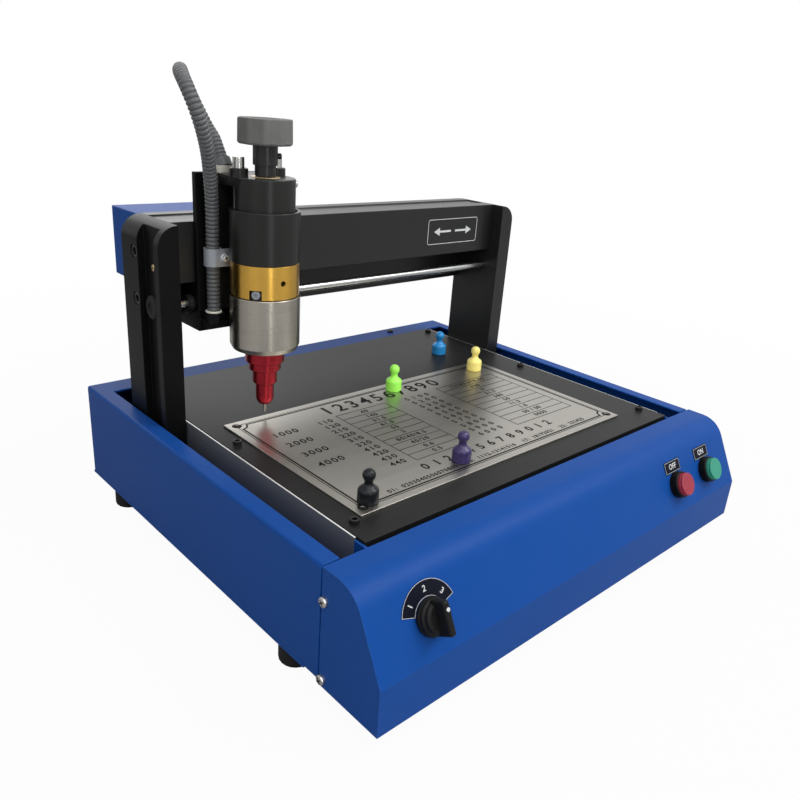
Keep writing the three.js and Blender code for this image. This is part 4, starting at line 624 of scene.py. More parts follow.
headSteps = 112
sleeveForm = {"radius": 21.65, "bore": 19.4, "low": 192, "floor": 197, "top": 223.2, "pilot": 3.3,
              "lip": 0.35}
ringForm = {"radius": 21.4, "bore": 19.3, "low": 171.4, "top": 192, "lip": 0.3,
            "slotTurn": -2.42, "slotWidth": 7.8, "slotTop": 177.4, "slotIn": 6, "slotOut": 3, "slotDown": 2,
            "holeTurn": -1.61, "holeRadius": 1.75, "holeLength": 9, "screwUp": 3,
            "screw": (2.7, 1.7, 1.3, 1.1), "screwLip": (0.4, 0.5), "screwSunk": 1}
housingForm = {"radius": 22.2, "low": 136, "top": 171, "chamfer": 3.2, "mouth": 8.1, "wall": 3, "spigot": 19,
               "spigotTop": 187, "lip": 0.3, "rim": 0.2, "rimIn": 0.15, "flatIn": 0.4}
nozzleForm = {"tip": 96, "tipRadius": 1.8, "tipLip": 0.3, "boreLip": 0.2, "start": 102, "bore": 1.3,
              "lip": 0.4, "top": 144.5, "stem": 7.9, "roundSteps": 10,
              "steps": ((5.9, 111.7), (7.9, 121), (10.4, 126.6), (12.6, 136))}
pinForm = {"radius": 3.5, "spread": 13.2, "back": 8.3, "low": 197, "top": 253, "lip": 0.5, "round": 0.15,
           "plate": 19.2, "plateTop": 199, "hole": 4.3}
nutForm = {"radius": 9, "bore": 4.3, "low": 228.3, "top": 242.3, "lip": 0.4, "boreLip": 0.3}
bracketForm = {"half": 19.1, "front": 22.45, "rear": 28.5, "low": 158, "top": 242, "lip": 0.5,
               "plateSoft": 0.4, "armSoft": 0.3, "armIn": 1, "armDown": 0.01, "armLow": 236,
               "barrel": 18.25, "barrelLow": 213,
               "bushing": 5.7, "bushingTop": 246.6, "bushingIn": 1, "bushingGap": 0.3, "bushingDip": 0.6}
sideBoltForm = {"place": (17.4, -5.5, 238.4), "direction": (0.953, -0.3, 0), "head": (2.2, 1.6, 1.3, 1),
                "lip": (0.4, 0.4), "sunk": 0.6}


def carved(bm, cutter):
    whole, tool = linked("whole", meshOf(bm, "whole")), linked("cutter", meshOf(cutter, "cutter"))
    cutting = whole.modifiers.new("cut", "BOOLEAN")
    cutting.operation = "DIFFERENCE"
    cutting.solver = "EXACT"
    cutting.object = tool
    bpy.context.view_layer.update()
    shape = bpy.data.meshes.new_from_object(whole.evaluated_get(bpy.context.evaluated_depsgraph_get()))
    result = bmesh.new()
    result.from_mesh(shape)
    for mesh in (shape, whole.data, tool.data):
        bpy.data.meshes.remove(mesh)
    return result


def makeSleeve(form):
    radius, bore, low, top, lip = take(form, "radius", "bore", "low", "top", "lip")
    pilot, floor = take(form, "pilot", "floor")
    turnPiece([(pilot, low), (radius - lip, low), (radius, low + lip), (radius, top - lip),
               (radius - lip, top), (bore + lip, top), (bore, top - lip), (bore, floor), (pilot, floor),
               (pilot, low)],
              headPlace, headSteps, "sleeve_tube", "headBlack", "marking_head", 0.0, ["head_sleeve"])


def makeRing(form):
    radius, bore, low, top = take(form, "radius", "bore", "low", "top")
    half, hole, length = form["slotWidth"] / 2, form["holeRadius"], form["holeLength"]
    inside, outside = radius - form["slotIn"], radius + form["slotOut"]
    bm = bmesh.new()
    latheInto(bm, tubeProfile(bore, radius, low, top, form["lip"]), headPlace, headSteps)
    cutter = bmesh.new()
    slot = headPlace @ turnedBy(form["slotTurn"])
    boxInto(cutter, (inside, -half, low - form["slotDown"]), (outside, half, form["slotTop"]), slot)
    drill = headPlace @ turnedBy(form["holeTurn"]) @ moved(inside, 0, (low + top) / 2)
    drill = drill @ turnedBy(quarterTurn, "Y")
    latheInto(cutter, [(0, 0), (hole, 0), (hole, length), (0, length)], drill, 24)
    keepPiece(carved(bm, cutter), "ring_collar", "goldAnodised", "marking_head", 0.12, ["index_ring"])
    spot = slot @ moved(bore, 0, low + form["screwUp"]) @ turnedBy(quarterTurn, "Y")
    turnPiece(socketProfile(*form["screw"], form["screwLip"], form["screwSunk"]), spot, 32,
              "ring_screw", "zincClip", "marking_head", 0.08)


def makeHousing(form):
    radius, low, top, wall, mouth = take(form, "radius", "low", "top", "wall", "mouth")
    spigot, spigotTop, chamfer = take(form, "spigot", "spigotTop", "chamfer")
    lip, rim, edge = form["lip"], form["rim"], radius - chamfer / 2
    can = turnPiece([(mouth, low), (edge - form["flatIn"], low), (edge, low + rim),
                     (radius - form["rimIn"], low + chamfer - rim), (radius, low + chamfer + rim),
                     (radius, top - lip), (radius - lip, top), (spigot, top), (spigot, spigotTop),
                     (wall, spigotTop), (wall, top - wall), (radius - wall, top - wall),
                     (radius - wall, low + wall), (mouth, low + wall), (mouth, low)],
                    headPlace, headSteps, "housing_can", "turnedSteel", "marking_head", 0.0,
                    ["coil_housing"])
    # the spigot above the can is steel in the real part and takes the head's black as painted shade, so the
    # gap under the ring and the ring's slot read dark
    refinish(can, "headBlack", lambda face: face.center.z > (top + rim) * mm)


def makeNozzle(form):
    tip, tipRadius, start, lip, bore = take(form, "tip", "tipRadius", "start", "lip", "bore")
    steps, stem, count = take(form, "steps", "stem", "roundSteps")
    reach, widest = steps[0][0] - tipRadius, steps[-1][0]
    foot = (bore, tip + form["tipLip"])
    profile = [foot, (bore + form["boreLip"], tip), (tipRadius, tip)]
    for step in range(1, count + 1):
        angle = step / count * quarterTurn
        profile.append((tipRadius + reach * math.sin(angle), start - (start - tip) * math.cos(angle)))
    before = None
    for radius, top in steps:
        if before:
            profile += [(radius - lip, before), (radius, before + lip)]
        profile += [(radius, top - lip), (radius - lip, top)] if radius == widest else [(radius, top)]
        before = top
    profile += [(stem, before), (stem, form["top"]), (bore, form["top"]), foot]
    turnPiece(profile, headPlace, 96, "nozzle_turned", "redAnodised", "marking_head", 0.0, ["nozzle"])


def pinPlaces():
    return [headPlace @ moved(side * pinForm["spread"], pinForm["back"]) for side in bothSides]


def makePins(form):
    bm = bmesh.new()
    radius, low, top, lip, rounding = take(form, "radius", "low", "top", "lip", "round")
    hole, plate, plateTop = take(form, "hole", "plate", "plateTop")
    latheInto(bm, [(hole, low), (plate, low), (plate, plateTop), (hole, plateTop), (hole, low)],
              headPlace, 72)
    for matrix in pinPlaces():
        latheInto(bm, [(0, low), (radius, low), (radius, top - lip), (radius - rounding, top - rounding),
                       (radius - lip, top), (0, top)], matrix, 48)
    keepPiece(bm, "pins_ground", "groundSteel", "marking_head", 0.0, ["guide_pins"])


def makeNut(form):
    radius, bore, low, top, lip, boreLip = take(form, "radius", "bore", "low", "top", "lip", "boreLip")
    turnPiece([(bore, low), (radius, low), (radius, top - lip), (radius - lip, top), (bore + boreLip, top),
               (bore, top - boreLip), (bore, low)],
              headPlace, 72, "nut_turned", "brass", "carriage", 0.0, ["lift_nut"])


def makeBracket(form):
    bm = bmesh.new()
    half, front, top, lip = take(form, "half", "front", "top", "lip")
    barrel, barrelLow = take(form, "barrel", "barrelLow")
    bushing, high, dip = take(form, "bushing", "bushingTop", "bushingDip")
    low, bore = top - form["bushingIn"], pinForm["radius"] + form["bushingGap"]
    boxInto(bm, (-half, front, form["low"]), (half, form["rear"], top), headPlace, form["plateSoft"])
    boxInto(bm, (-barrel, 0, form["armLow"]), (barrel, front + form["armIn"], top - form["armDown"]),
            headPlace, form["armSoft"])
    latheInto(bm, [(0, barrelLow), (barrel, barrelLow), (barrel, top - lip), (barrel - lip, top), (0, top)],
              headPlace, headSteps)
    for matrix in pinPlaces():
        latheInto(bm, [(0, low), (bushing, low), (bushing, high - lip), (bushing - lip, high), (bore, high),
                       (bore, high - dip), (0, high - dip)], matrix, 56)
    keepPiece(bm, "bracket_turned", "headBlack", "carriage", 0.0, ["head_bracket"])


def makeSideBolt(form):
    x, y, z = form["place"]
    turnPiece(socketProfile(*form["head"], form["lip"], form["sunk"]),
              placed((headAxis[0] + x, headAxis[1] + y, z), form["direction"]), 32,
              "bracket_bolt", "screwSteel", "carriage")


makeSleeve(sleeveForm)
makeRing(ringForm)
makeHousing(housingForm)
makeNozzle(nozzleForm)
makePins(pinForm)
makeNut(nutForm)
makeBracket(bracketForm)
makeSideBolt(sideBoltForm)


# Clip screw and the pale collar where the hose starts

clipScrewForm = {"place": (-120.6, 59.5, 191.8), "head": (2.45, 2.2), "sunk": 0.4,
                 "shares": ((1, 0.6), (0.85, 0.9), (0.6, 1)), "turn": 0.4, "bar": (1.6, 0.3),
                 "cut": (0.3, 0.05)}
collarForm = {"place": (-125.8, 65, 156.7), "radius": 5.2, "bore": 4.3, "height": 1.1, "lip": 0.5,
              "lipShare": 0.6}


def crossInto(bm, matrix, bar, cut, height, bars=2):
    for index in range(bars):
        boxInto(bm, (-bar[0], -bar[1], height - cut[0]), (bar[0], bar[1], height + cut[1]),
                matrix @ turnedBy(index * quarterTurn))


def makeClipScrew(form):
    matrix = placed(form["place"], (0, -1, 0))
    # the clip screw is pale bright steel, a painted reflection of the light
    turnPiece(domeProfile(*form["head"], form["sunk"], form["shares"]), matrix, 40,
              "clip_screw", "paintedHighlightSteel", "carriage", 0.1)
    # dark cross on the head: painted shade for the cross recess
    marks = bmesh.new()
    crossInto(marks, matrix @ turnedBy(form["turn"]), form["bar"], form["cut"], form["head"][1])
    keepPiece(marks, "clip_screw_slot_shade", "etchedBlackAndSlotShade", "carriage")


def makeCollar(form):
    radius, bore, height = take(form, "radius", "bore", "height")
    turnPiece([(bore, 0), (radius, 0), (radius, height * form["lipShare"]), (radius - form["lip"], height),
               (bore, height), (bore, 0)],
              placed(form["place"]), 48, "hose_collar", "paleNylon", "carriage")


makeClipScrew(clipScrewForm)
makeCollar(collarForm)
print("rods, head and hose trim made")


# Screws: with two dark bars or one on the head, painted shade standing for the slots, or none and a hexagon
# key's socket

screwShape = {"turn": 0.6, "sunk": 0.6, "shares": ((1, 0.45), (0.9, 0.8), (0.62, 1)), "socket": 0.56,
              "socketFloor": 0.45, "bar": (0.62, 0.11), "cut": (0.3, 0.06)}
screwSets = {
    "console": {"finish": "screwSteel", "body": "base", "head": (2.95, 2.1), "bars": 2, "soft": 0.12,
                "places": [((side * 175, -121.3, z), (side, 0, 0))
                           for side in bothSides for z in (66.6, 19.8)]},
    "rim": {"finish": "screwBlack", "body": "base", "head": (2.9, 1.9), "bars": 2, "soft": 0.12,
            "places": [((side * 108, 150.8, 85), zAxis) for side in bothSides]},
    "table": {"finish": "screwBlack", "body": "base", "head": (2.7, 5.4), "bars": 0, "soft": 0.3,
              "places": [((side * 138.5, y, 82.6), zAxis)
                         for side in bothSides for y in (-97.65, 17.1, 130.6)]},
    "post": {"finish": "screwBlack", "body": "gantry", "head": (4.1, 3.6), "bars": 0, "soft": 0.3,
             "places": [((side * 158.1, 97, z), (side, 0, 0)) for side in bothSides for z in (192.3, 162.3)]},
    "trim": {"finish": "brass", "body": "gantry", "head": (2.2, 1.2), "bars": 1, "soft": 0.12,
             "places": [((side * 157.2, 80.2, 184.6), (side, 0, 0)) for side in bothSides]},
}


def makeScrews(name, form, shape):
    radius, height = form["head"]
    finish, body, bars = take(form, "finish", "body", "bars")
    sunk, socket, floor = shape["sunk"], radius * shape["socket"], height * shape["socketFloor"]
    bm, marks = bmesh.new(), bmesh.new()
    for point, direction in form["places"]:
        matrix = placed(point, direction, shape["turn"])
        if bars:
            latheInto(bm, domeProfile(radius, height, sunk, shape["shares"]), matrix, 40)
            # dark bars on the head: painted shade for the slots
            crossInto(marks, matrix, [radius * share for share in shape["bar"]], shape["cut"], height, bars)
        else:
            latheInto(bm, [(0, -sunk), (radius, -sunk), (radius, height), (socket, height), (socket, floor),
                           (0, floor)], matrix, 36)
    keepPiece(bm, name, finish, body, form["soft"])
    if bars:
        keepPiece(marks, name + "_slot_shade", "etchedBlackAndSlotShade", body)
    else:
        marks.free()


for name, form in screwSets.items():
    makeScrews(name + "_screws", form, screwShape)

plugForm = {"place": (157.2, 81.6, 159.4), "radius": 8, "height": 3, "sunk": 0.3, "lip": 1.1,
            "lipShare": 0.6, "dent": (0.45, 0.4), "dentShare": 0.75}


def makePlugs(form):
    bm = bmesh.new()
    x, y, z = form["place"]
    radius, height, sunk = take(form, "radius", "height", "sunk")
    wide, narrow = [radius * share for share in form["dent"]]
    dent = height * form["dentShare"]
    for side in bothSides:
        latheInto(bm, [(0, -sunk), (radius, -sunk), (radius, height * form["lipShare"]),
                       (radius - form["lip"], height), (wide, height), (narrow, dent), (0, dent)],
                  placed((side * x, y, z), (side, 0, 0)), 48)
    keepPiece(bm, "post_plugs", "blackPlastic", "gantry", 0.3)


makePlugs(plugForm)
print("screws and plugs made")


# Adjusting knob

knobForm = {"grip": 16.7, "gripLow": 260.5, "top": 275.1, "hub": 7.4, "hubLow": 248.9, "neck": 6.25,
            "low": 242.6, "spindle": 4, "foot": 228.5, "lobes": 10, "lobeDepth": 0.8, "lobed": 0.8,
            "gripIn": 0.2, "hubSkin": 0.1,
            "under": ((1.5, 0), (0.5, 0.5), (0, 1.3)), "upper": ((0.25, 0.8), (0.4, 0.3), (0.9, 0)),
            "dish": (0.55, 0.5, 0.5)}
setScrewForm = {"height": 254.2, "direction": (0.92, -0.39, 0), "head": (1.7, 2.2, 0.8, 1.0),
                "lip": (0.3, 0.3), "sunk": 0.6}


def makeKnob(form):
    bm, part = bmesh.new(), bmesh.new()
    grip, gripLow, top, foot, low = take(form, "grip", "gripLow", "top", "foot", "low")
    hub, hubLow, neck, spindle = take(form, "hub", "hubLow", "neck", "spindle")
    rim, floor, dip = form["dish"]
    latheInto(part, [(0, gripLow), *[(grip - across, gripLow + up) for across, up in form["under"]],
                     *[(grip - across, top - down) for across, down in form["upper"]],
                     (grip * rim, top), (grip * floor, top - dip), (0, top - dip)], Matrix(), 120)
    for vert in part.verts:
        across = vert.co.xy.length
        if across > grip * form["lobed"] * mm:
            wave = 0.5 - 0.5 * math.cos(form["lobes"] * math.atan2(vert.co.y, vert.co.x))
            vert.co.xy *= 1 - form["lobeDepth"] * (1 - wave ** 2) * mm / across
    joinInto(bm, part, headPlace)
    hubTop = gripLow + form["gripIn"]
    latheInto(bm, [(0, foot), (spindle, foot), (spindle, low), (neck, low), (neck, hubLow), (hub, hubLow),
                   (hub, hubTop), (0, hubTop)], headPlace, 72)
    knob = keepPiece(bm, "knob_grip", "knobPlastic", "knob_body", 0.15, ["adjusting_knob"])
    refinish(knob, "hubPlastic", lambda face: face.center.z < (gripLow - form["hubSkin"]) * mm)


def makeSetScrew(form):
    x, y = form["direction"][:2]
    spot = (headAxis[0] + knobForm["hub"] * x, headAxis[1] + knobForm["hub"] * y, form["height"])
    turnPiece(socketProfile(*form["head"], form["lip"], form["sunk"]), placed(spot, form["direction"]), 24,
              "knob_set_screw", "screwBlack", "knob_body")


makeKnob(knobForm)
makeSetScrew(setScrewForm)


# Push-pin magnets

magnetShape = {
    "profile": [(0, 0), (5.5, 0), (6, 0.5), (6, 6.6), (5.9, 7.6), (5.3, 8.6), (4.0, 9.5), (3.0, 10.3),
                (2.55, 11.3), (2.5, 12.3), (2.65, 13.2)],
    "ball": 3.75, "top": 20, "neckAngle": 0.75, "steps": 15,
}
magnetForms = {
    "magnet_blue": {"finish": "magnetBlue", "centre": (100.74, 78.81), "foot": 85.5},
    "magnet_green": {"finish": "magnetGreen", "centre": (5.26, 32.15), "foot": 86.7},
    "magnet_yellow": {"finish": "magnetYellow", "centre": (93.44, 30.36), "foot": 86.7},
    "magnet_purple": {"finish": "magnetPurple", "centre": (-40.15, -81.08), "foot": 86.7},
    "magnet_black": {"finish": "magnetBlack", "centre": (-120.09, -86.43), "foot": 86.7},
}


def makeMagnet(name, form, shape):
    ball, top, neck, steps = take(shape, "ball", "top", "neckAngle", "steps")
    profile = list(shape["profile"])
    for step in range(1, steps):
        angle = (quarterTurn + neck) * step / steps - neck
        profile.append((ball * math.cos(angle), top - ball + ball * math.sin(angle)))
    turnPiece(profile + [(0, top)], Matrix.Translation(at(*form["centre"], form["foot"])), 56,
              name + "_pin", form["finish"], name + "_body", 0.0, [name])


for name, form in magnetForms.items():
    makeMagnet(name, form, magnetShape)
print("knob and magnets made")


# Controls on the console's slope

slope = {"corner": (-142.4, 85), "run": 21.6, "drop": 42.4}
slopeTurn = turnedBy(quarterTurn - math.atan2(slope["run"], slope["drop"]), "X")


def onSlope(x, along, height=0.0):
    return Matrix.Translation(at(0, *slope["corner"])) @ slopeTurn @ moved(x, -along, height)


buttonForm = {"along": 29.2, "places": {"stop": 100.5, "start": 140.5}, "outer": 9, "bore": 8.1,
              "height": 5.7, "floor": (0.3, 0.8), "boreLip": (0.25, 0.3),
              "rim": ((0.9, 0), (0.15, 0.7), (0, 1.6)), "cap": 7.7, "capLow": 4.0, "capTop": 8.8,
              "capRim": ((0, 1.95), (0.2, 1.65), (0.75, 1.6), (0.8, 1.25), (0.3, 1.2), (0.1, 1.0),
                         (0.1, 0.3), (0.4, 0))}


def makeButton(use, finish, form):
    matrix = onSlope(form["places"][use], form["along"])
    outer, bore, height, cap, top = take(form, "outer", "bore", "height", "cap", "capTop")
    back, floor = form["floor"]
    across, down = form["boreLip"]
    turnPiece([(bore, floor), (bore, height - down), (bore + across, height),
               *[(outer - inward, height - lower) for inward, lower in form["rim"]],
               (outer, back), (0, back), (0, floor), (bore, floor)],
              matrix, 72, use + "_button_bezel", "blackAnodised", "base", 0.15, [use + "_button_body"])
    turnPiece([(0, form["capLow"]), (cap, form["capLow"]),
               *[(cap - inward, top - lower) for inward, lower in form["capRim"]], (0, top)],
              matrix, 72, use + "_button_top", finish, use + "_cap", 0.0, [use + "_button_cap"])


makeButton("stop", "redCap", buttonForm)
makeButton("start", "greenCap", buttonForm)

selectorForm = {"x": -136.4, "along": 27.4, "skirt": 9.8, "low": 1.0, "skirtTop": 6.3, "tier": 8.2,
                "tierTop": 7.6, "skirtRim": ((0, 1.4), (0.4, 1.9)), "skirtWaist": ((0.6, 1.9), (1.1, 1.4)),
                "tierDown": 1.2,
                "tierRim": ((0.4, 0.9), (1.2, 0.2), (2.2, 0)), "gripTop": 14.4, "gripHalf": 2.5,
                "gripReach": 9.3, "gripIn": 2, "gripTaper": (0.78, 0.95), "gripSoft": (1.5, 5)}
dotForm = {"reachShare": 0.95, "inward": 4.4,
           "profile": [(0, -0.2), (1.05, -0.2), (1.05, 0.12), (0.9, 0.2), (0, 0.2)]}


def makeSelector(form):
    matrix = onSlope(form["x"], form["along"])
    skirt, low, top, tier, tierTop = take(form, "skirt", "low", "skirtTop", "tier", "tierTop")
    bm = bmesh.new()
    latheInto(bm, [(0, low), (skirt, low), *[(skirt - inward, low + up) for inward, up in form["skirtRim"]],
                   *[(skirt - inward, top - down) for inward, down in form["skirtWaist"]],
                   (tier, top - form["tierDown"]),
                   *[(tier - inward, tierTop - down) for inward, down in form["tierRim"]], (0, tierTop)],
              matrix, 72)
    half, reach, high = take(form, "gripHalf", "gripReach", "gripTop")
    foot = top - form["gripIn"]
    narrower, shorter = form["gripTaper"]
    grip = blockOf((-half, -reach, foot), (half, reach, high))
    for vert in grip.verts:
        if vert.co.z > top * mm:
            vert.co.x *= narrower
            vert.co.y *= shorter
    roundEdges(grip, *form["gripSoft"])
    joinInto(bm, grip, matrix)
    keepPiece(bm, "selector_grip", "blackPlastic", "selector", 0.0, ["selector_knob"])
    dotAlong = form["along"] - reach * dotForm["reachShare"] + dotForm["inward"]
    turnPiece(dotForm["profile"], onSlope(form["x"], dotAlong, high), 32,
              "selector_dot", "signWhite", "selector")


makeSelector(selectorForm)


# Dial and labels of the console: a thin dark plate, light rules and plain words

ruleSunk, ruleProud = 0.1, 0.06
dialForm = {"outer": 18.1, "inner": 9.9, "half": 1.265, "line": 0.22, "top": 0.45, "marks": ("1", "2", "3"),
            "markTurn": 0.87, "markReach": 13.9, "markSize": 4.4, "heavy": 0.08}
labelForm = {"width": 19.2, "height": 8.4, "along": 16.1, "line": 0.2, "top": 0.45, "margin": 0.5,
             "soft": 0.15, "size": 5.2, "heavy": 0.1,
             "words": {"stop": ("OFF", 99.8), "start": ("ON", 139.4)}}


def sectorOutline(inner, outer, half, steps=24):
    turns = [half - 2 * half * step / steps for step in range(steps + 1)]
    far = [(-outer * math.sin(turn), outer * math.cos(turn)) for turn in turns]
    near = [(-inner * math.sin(turn), inner * math.cos(turn)) for turn in reversed(turns)]
    return far + near


def wordsInto(bm, words, size, matrix, heavy, spacing=1.0, depth=0.06):
    data = bpy.data.curves.new("words", "FONT")
    data.body = words
    data.size = size * mm
    data.extrude = depth * mm / 2
    data.offset = heavy * mm
    data.align_x = data.align_y = "CENTER"
    data.space_character = spacing
    data.resolution_u = 3
    obj = linked("words", data)
    bpy.context.view_layer.update()
    mesh = bpy.data.meshes.new_from_object(obj)
    bpy.data.objects.remove(obj)
    bpy.data.curves.remove(data)
    mesh.transform(matrix)
    bm.from_mesh(mesh)
    bpy.data.meshes.remove(mesh)


def makeDial(form):
    matrix = onSlope(selectorForm["x"], selectorForm["along"])
    outer, inner, half, line, top = take(form, "outer", "inner", "half", "line", "top")
    low, high = top - ruleSunk, top + ruleProud
    plate, border, marks = bmesh.new(), bmesh.new(), bmesh.new()
    outlineInto(plate, sectorOutline(inner, outer, half), clearOff, top, matrix)
    keepPiece(plate, "dial_plate", "signBlack", "base")
    for start, end in ((outer - line, outer), (inner, inner + line)):
        outlineInto(border, sectorOutline(start, end, half), low, high, matrix)
    for side in bothSides:
        turned = matrix @ turnedBy(side * (half - line / outer / 2))
        boxInto(border, (-line / 2, inner, low), (line / 2, outer, high), turned)
    keepPiece(border, "dial_border", "signWhite", "base")
    for index, mark in enumerate(form["marks"]):
        spot = turnedBy(form["markTurn"] * (1 - index)) @ moved(0, form["markReach"], top + clearOff)
        wordsInto(marks, mark, form["markSize"], matrix @ spot, form["heavy"])
    keepPiece(marks, "dial_marks", "signWhite", "base")


def frameInto(bm, halfWidth, halfHeight, line, low, high, matrix):
    for side in bothSides:
        x = sorted((side * halfWidth, side * (halfWidth - line)))
        boxInto(bm, (x[0], -halfHeight, low), (x[1], halfHeight, high), matrix)
        y = sorted((side * halfHeight, side * (halfHeight - line)))
        boxInto(bm, (-halfWidth + line, y[0], low), (halfWidth - line, y[1], high), matrix)


def makeLabel(name, words, x, form):
    matrix = onSlope(x, form["along"])
    halfWidth, halfHeight, top, margin = form["width"] / 2, form["height"] / 2, form["top"], form["margin"]
    plate, border = bmesh.new(), bmesh.new()
    boxInto(plate, (-halfWidth, -halfHeight, clearOff), (halfWidth, halfHeight, top), matrix, form["soft"])
    keepPiece(plate, name + "_label", "signBlack", "base")
    frameInto(border, halfWidth - margin, halfHeight - margin, form["line"], top - ruleSunk, top + ruleProud,
              matrix)
    wordsInto(border, words, form["size"], matrix @ moved(0, 0, top + clearOff), form["heavy"])
    keepPiece(border, name + "_label_marks", "signWhite", "base")


makeDial(dialForm)
for name, (words, x) in labelForm["words"].items():
    makeLabel(name, words, x, labelForm)
print("controls made")


# Sign on the beam: a thin rounded frame with a double arrow

beamSignForm = {"centre": (100.75, 193), "half": (28.75, 10), "y": 75.3, "line": 0.45, "corner": 2,
                "arrow": 3.2, "tipIn": 7, "gap": 2.5, "depth": (-0.04, 0.12)}
cornerSigns = ((1, 1), (-1, 1), (-1, -1), (1, -1))


def roundedPath(halfWidth, halfHeight, corner, steps=6):
    points = []
    for quarter, (x, y) in enumerate(cornerSigns):
        for step in range(steps + 1):
            angle = (quarter + step / steps) * quarterTurn
            points.append((x * (halfWidth - corner) + corner * math.cos(angle),
                           y * (halfHeight - corner) + corner * math.sin(angle)))
    return points


def notchedPath(halfWidth, halfHeight, notch, inset, steps=8):
    points = []
    reach = notch + inset
    skipped = math.asin(inset / reach)
    for quarter, (x, y) in enumerate(cornerSigns):
        for step in range(steps + 1):
            angle = (quarter + 3) * quarterTurn - skipped - (quarterTurn - 2 * skipped) * step / steps
            points.append((x * halfWidth + reach * math.cos(angle),
                           y * halfHeight + reach * math.sin(angle)))
    return points


def loopInto(bm, outlines, low, high, matrix):
    part = bmesh.new()
    outer, inner = [[[part.verts.new((x * mm, y * mm, level * mm)) for level in (low, high)]
                     for x, y in outline] for outline in outlines]
    for index in range(len(outer)):
        a, b, c, d = outer[index - 1], outer[index], inner[index], inner[index - 1]
        for corners in ((a[1], b[1], c[1], d[1]), (a[0], d[0], c[0], b[0]), (a[0], b[0], b[1], a[1]),
                        (d[0], d[1], c[1], c[0])):
            part.faces.new(corners)
    bmesh.ops.recalc_face_normals(part, faces=part.faces)
    joinInto(bm, part, matrix)


def makeBeamSign(form):
    (x, z), (halfWidth, halfHeight), (low, high) = take(form, "centre", "half", "depth")
    line, corner, arrow = take(form, "line", "corner", "arrow")
    matrix = placed((x, form["y"] - clearOff, z), (0, -1, 0))
    sign = bmesh.new()
    outlines = [roundedPath(halfWidth - inset, halfHeight - inset, corner - inset) for inset in (0, line)]
    loopInto(sign, outlines, low, high, matrix)
    for side in bothSides:
        tip = side * (halfWidth - form["tipIn"])
        back = tip - side * 2 * arrow
        outlineInto(sign, [(tip, 0), (back, arrow), (back, -arrow)][::side], low, high, matrix)
        ends = sorted((back, side * form["gap"]))
        boxInto(sign, (ends[0], -arrow / 4, low), (ends[1], arrow / 4, high), matrix)
    keepPiece(sign, "beam_sign", "signWhite", "gantry")


makeBeamSign(beamSignForm)


# Marked nameplate: borders notched at the corner holes, two ruled boxes and plain numbers

plateForm = {"low": (-132.5, -96), "size": (245, 140), "top": 86.7, "depth": (0.01, 0.06),
             "borders": ((5.2, 0.5), (6.6, 1.2)), "notch": 4, "eye": (6, 1.65, 2.9),
             "boxes": ((70, 114.5), (167, 229.5)), "boxLow": 31, "boxHigh": 111.5, "rows": 10, "line": 0.5,
             "wordsUp": 0.04, "wordsDepth": 0.05, "heavy": 0.12, "spacing": 1.25}
plateLines = [
    {"x": 122, "y": 122, "size": 17, "heavy": 0.25, "spacing": 1.35, "words": "1234567890"},
    {"x": 128, "y": 21.5, "size": 9.5, "heavy": 0.2, "spacing": 2.1, "words": "0123456789012"},
    {"x": 122.5, "y": 11, "size": 4.8, "heavy": 0.12, "spacing": 1.2,
     "words": "01:  0203040506070809    10:  1112-13141516    17:  18192021    22:  232425"},
]
plateColumns = [
    {"x": 26, "every": 2, "size": 8, "words": ("1000", "2000", "3000", "4000")},
    {"x": 58, "every": 1, "size": 6.8, "words": "110 120 210 220 310 320 410 420 430 440".split()},
    {"x": 92, "every": 1, "size": 5.4, "words": "40 140 31.5 61.5 55 2 80/40/8.5 40/20 0.6 0.5".split()},
    {"x": 143, "every": 1, "size": 6.4,
     "words": [" ".join(str(number)) for number in range(5100, 6001, 100)]},
    {"x": 198, "every": 1, "size": 5.4,
     "words": ("12345-678-90", "630", "6", "31.7", "380", "50", "11.5", "1.0", "00 / 00", "0000")},
]


def makePlateRules(form, corner):
    width, depth = form["size"]
    line, boxLow, boxHigh, rows = take(form, "line", "boxLow", "boxHigh", "rows")
    low, high = form["depth"]
    middle = corner @ moved(width / 2, depth / 2)
    marks = bmesh.new()
    for inset, thick in form["borders"]:
        notch = form["notch"] + inset - form["borders"][0][0]
        outlines = [notchedPath(width / 2 - inset, depth / 2 - inset, notch, offset)
                    for offset in (0, thick)]
        loopInto(marks, outlines, low, high, middle)
    inset, bore, rim = form["eye"]
    for x in bothSides:
        for y in bothSides:
            latheInto(marks, [(bore, low), (rim, low), (rim, high), (bore, high), (bore, low)],
                      middle @ moved(x * (width / 2 - inset), y * (depth / 2 - inset)), 32)
    half = line / 2
    for start, end in form["boxes"]:
        for row in range(rows + 1):
            level = boxLow + (boxHigh - boxLow) / rows * row
            boxInto(marks, (start, level - half, low), (end, level + half, high), corner)
        for column in (start, end):
            boxInto(marks, (column - half, boxLow - half, low), (column + half, boxHigh + half, high), corner)
    keepPiece(marks, "plate_rules", "etchedBlackAndSlotShade", "base")


def makePlateFigures(form, corner):
    up, depth, boxHigh = take(form, "wordsUp", "wordsDepth", "boxHigh")
    pitch = (boxHigh - form["boxLow"]) / form["rows"]
    figures = bmesh.new()
    for entry in plateLines:
        wordsInto(figures, entry["words"], entry["size"], corner @ moved(entry["x"], entry["y"], up),
                  entry["heavy"], entry["spacing"], depth)
    for column in plateColumns:
        for index, words in enumerate(column["words"]):
            level = boxHigh - pitch * (index * column["every"] + 0.5)
            wordsInto(figures, words, column["size"], corner @ moved(column["x"], level, up), form["heavy"],
                      form["spacing"], depth)
    keepPiece(figures, "plate_figures", "etchedBlackAndSlotShade", "base")


plateCorner = Matrix.Translation(at(*plateForm["low"], plateForm["top"]))
makePlateRules(plateForm, plateCorner)
makePlateFigures(plateForm, plateCorner)
print("signs and nameplate marks made")


# Floor and light

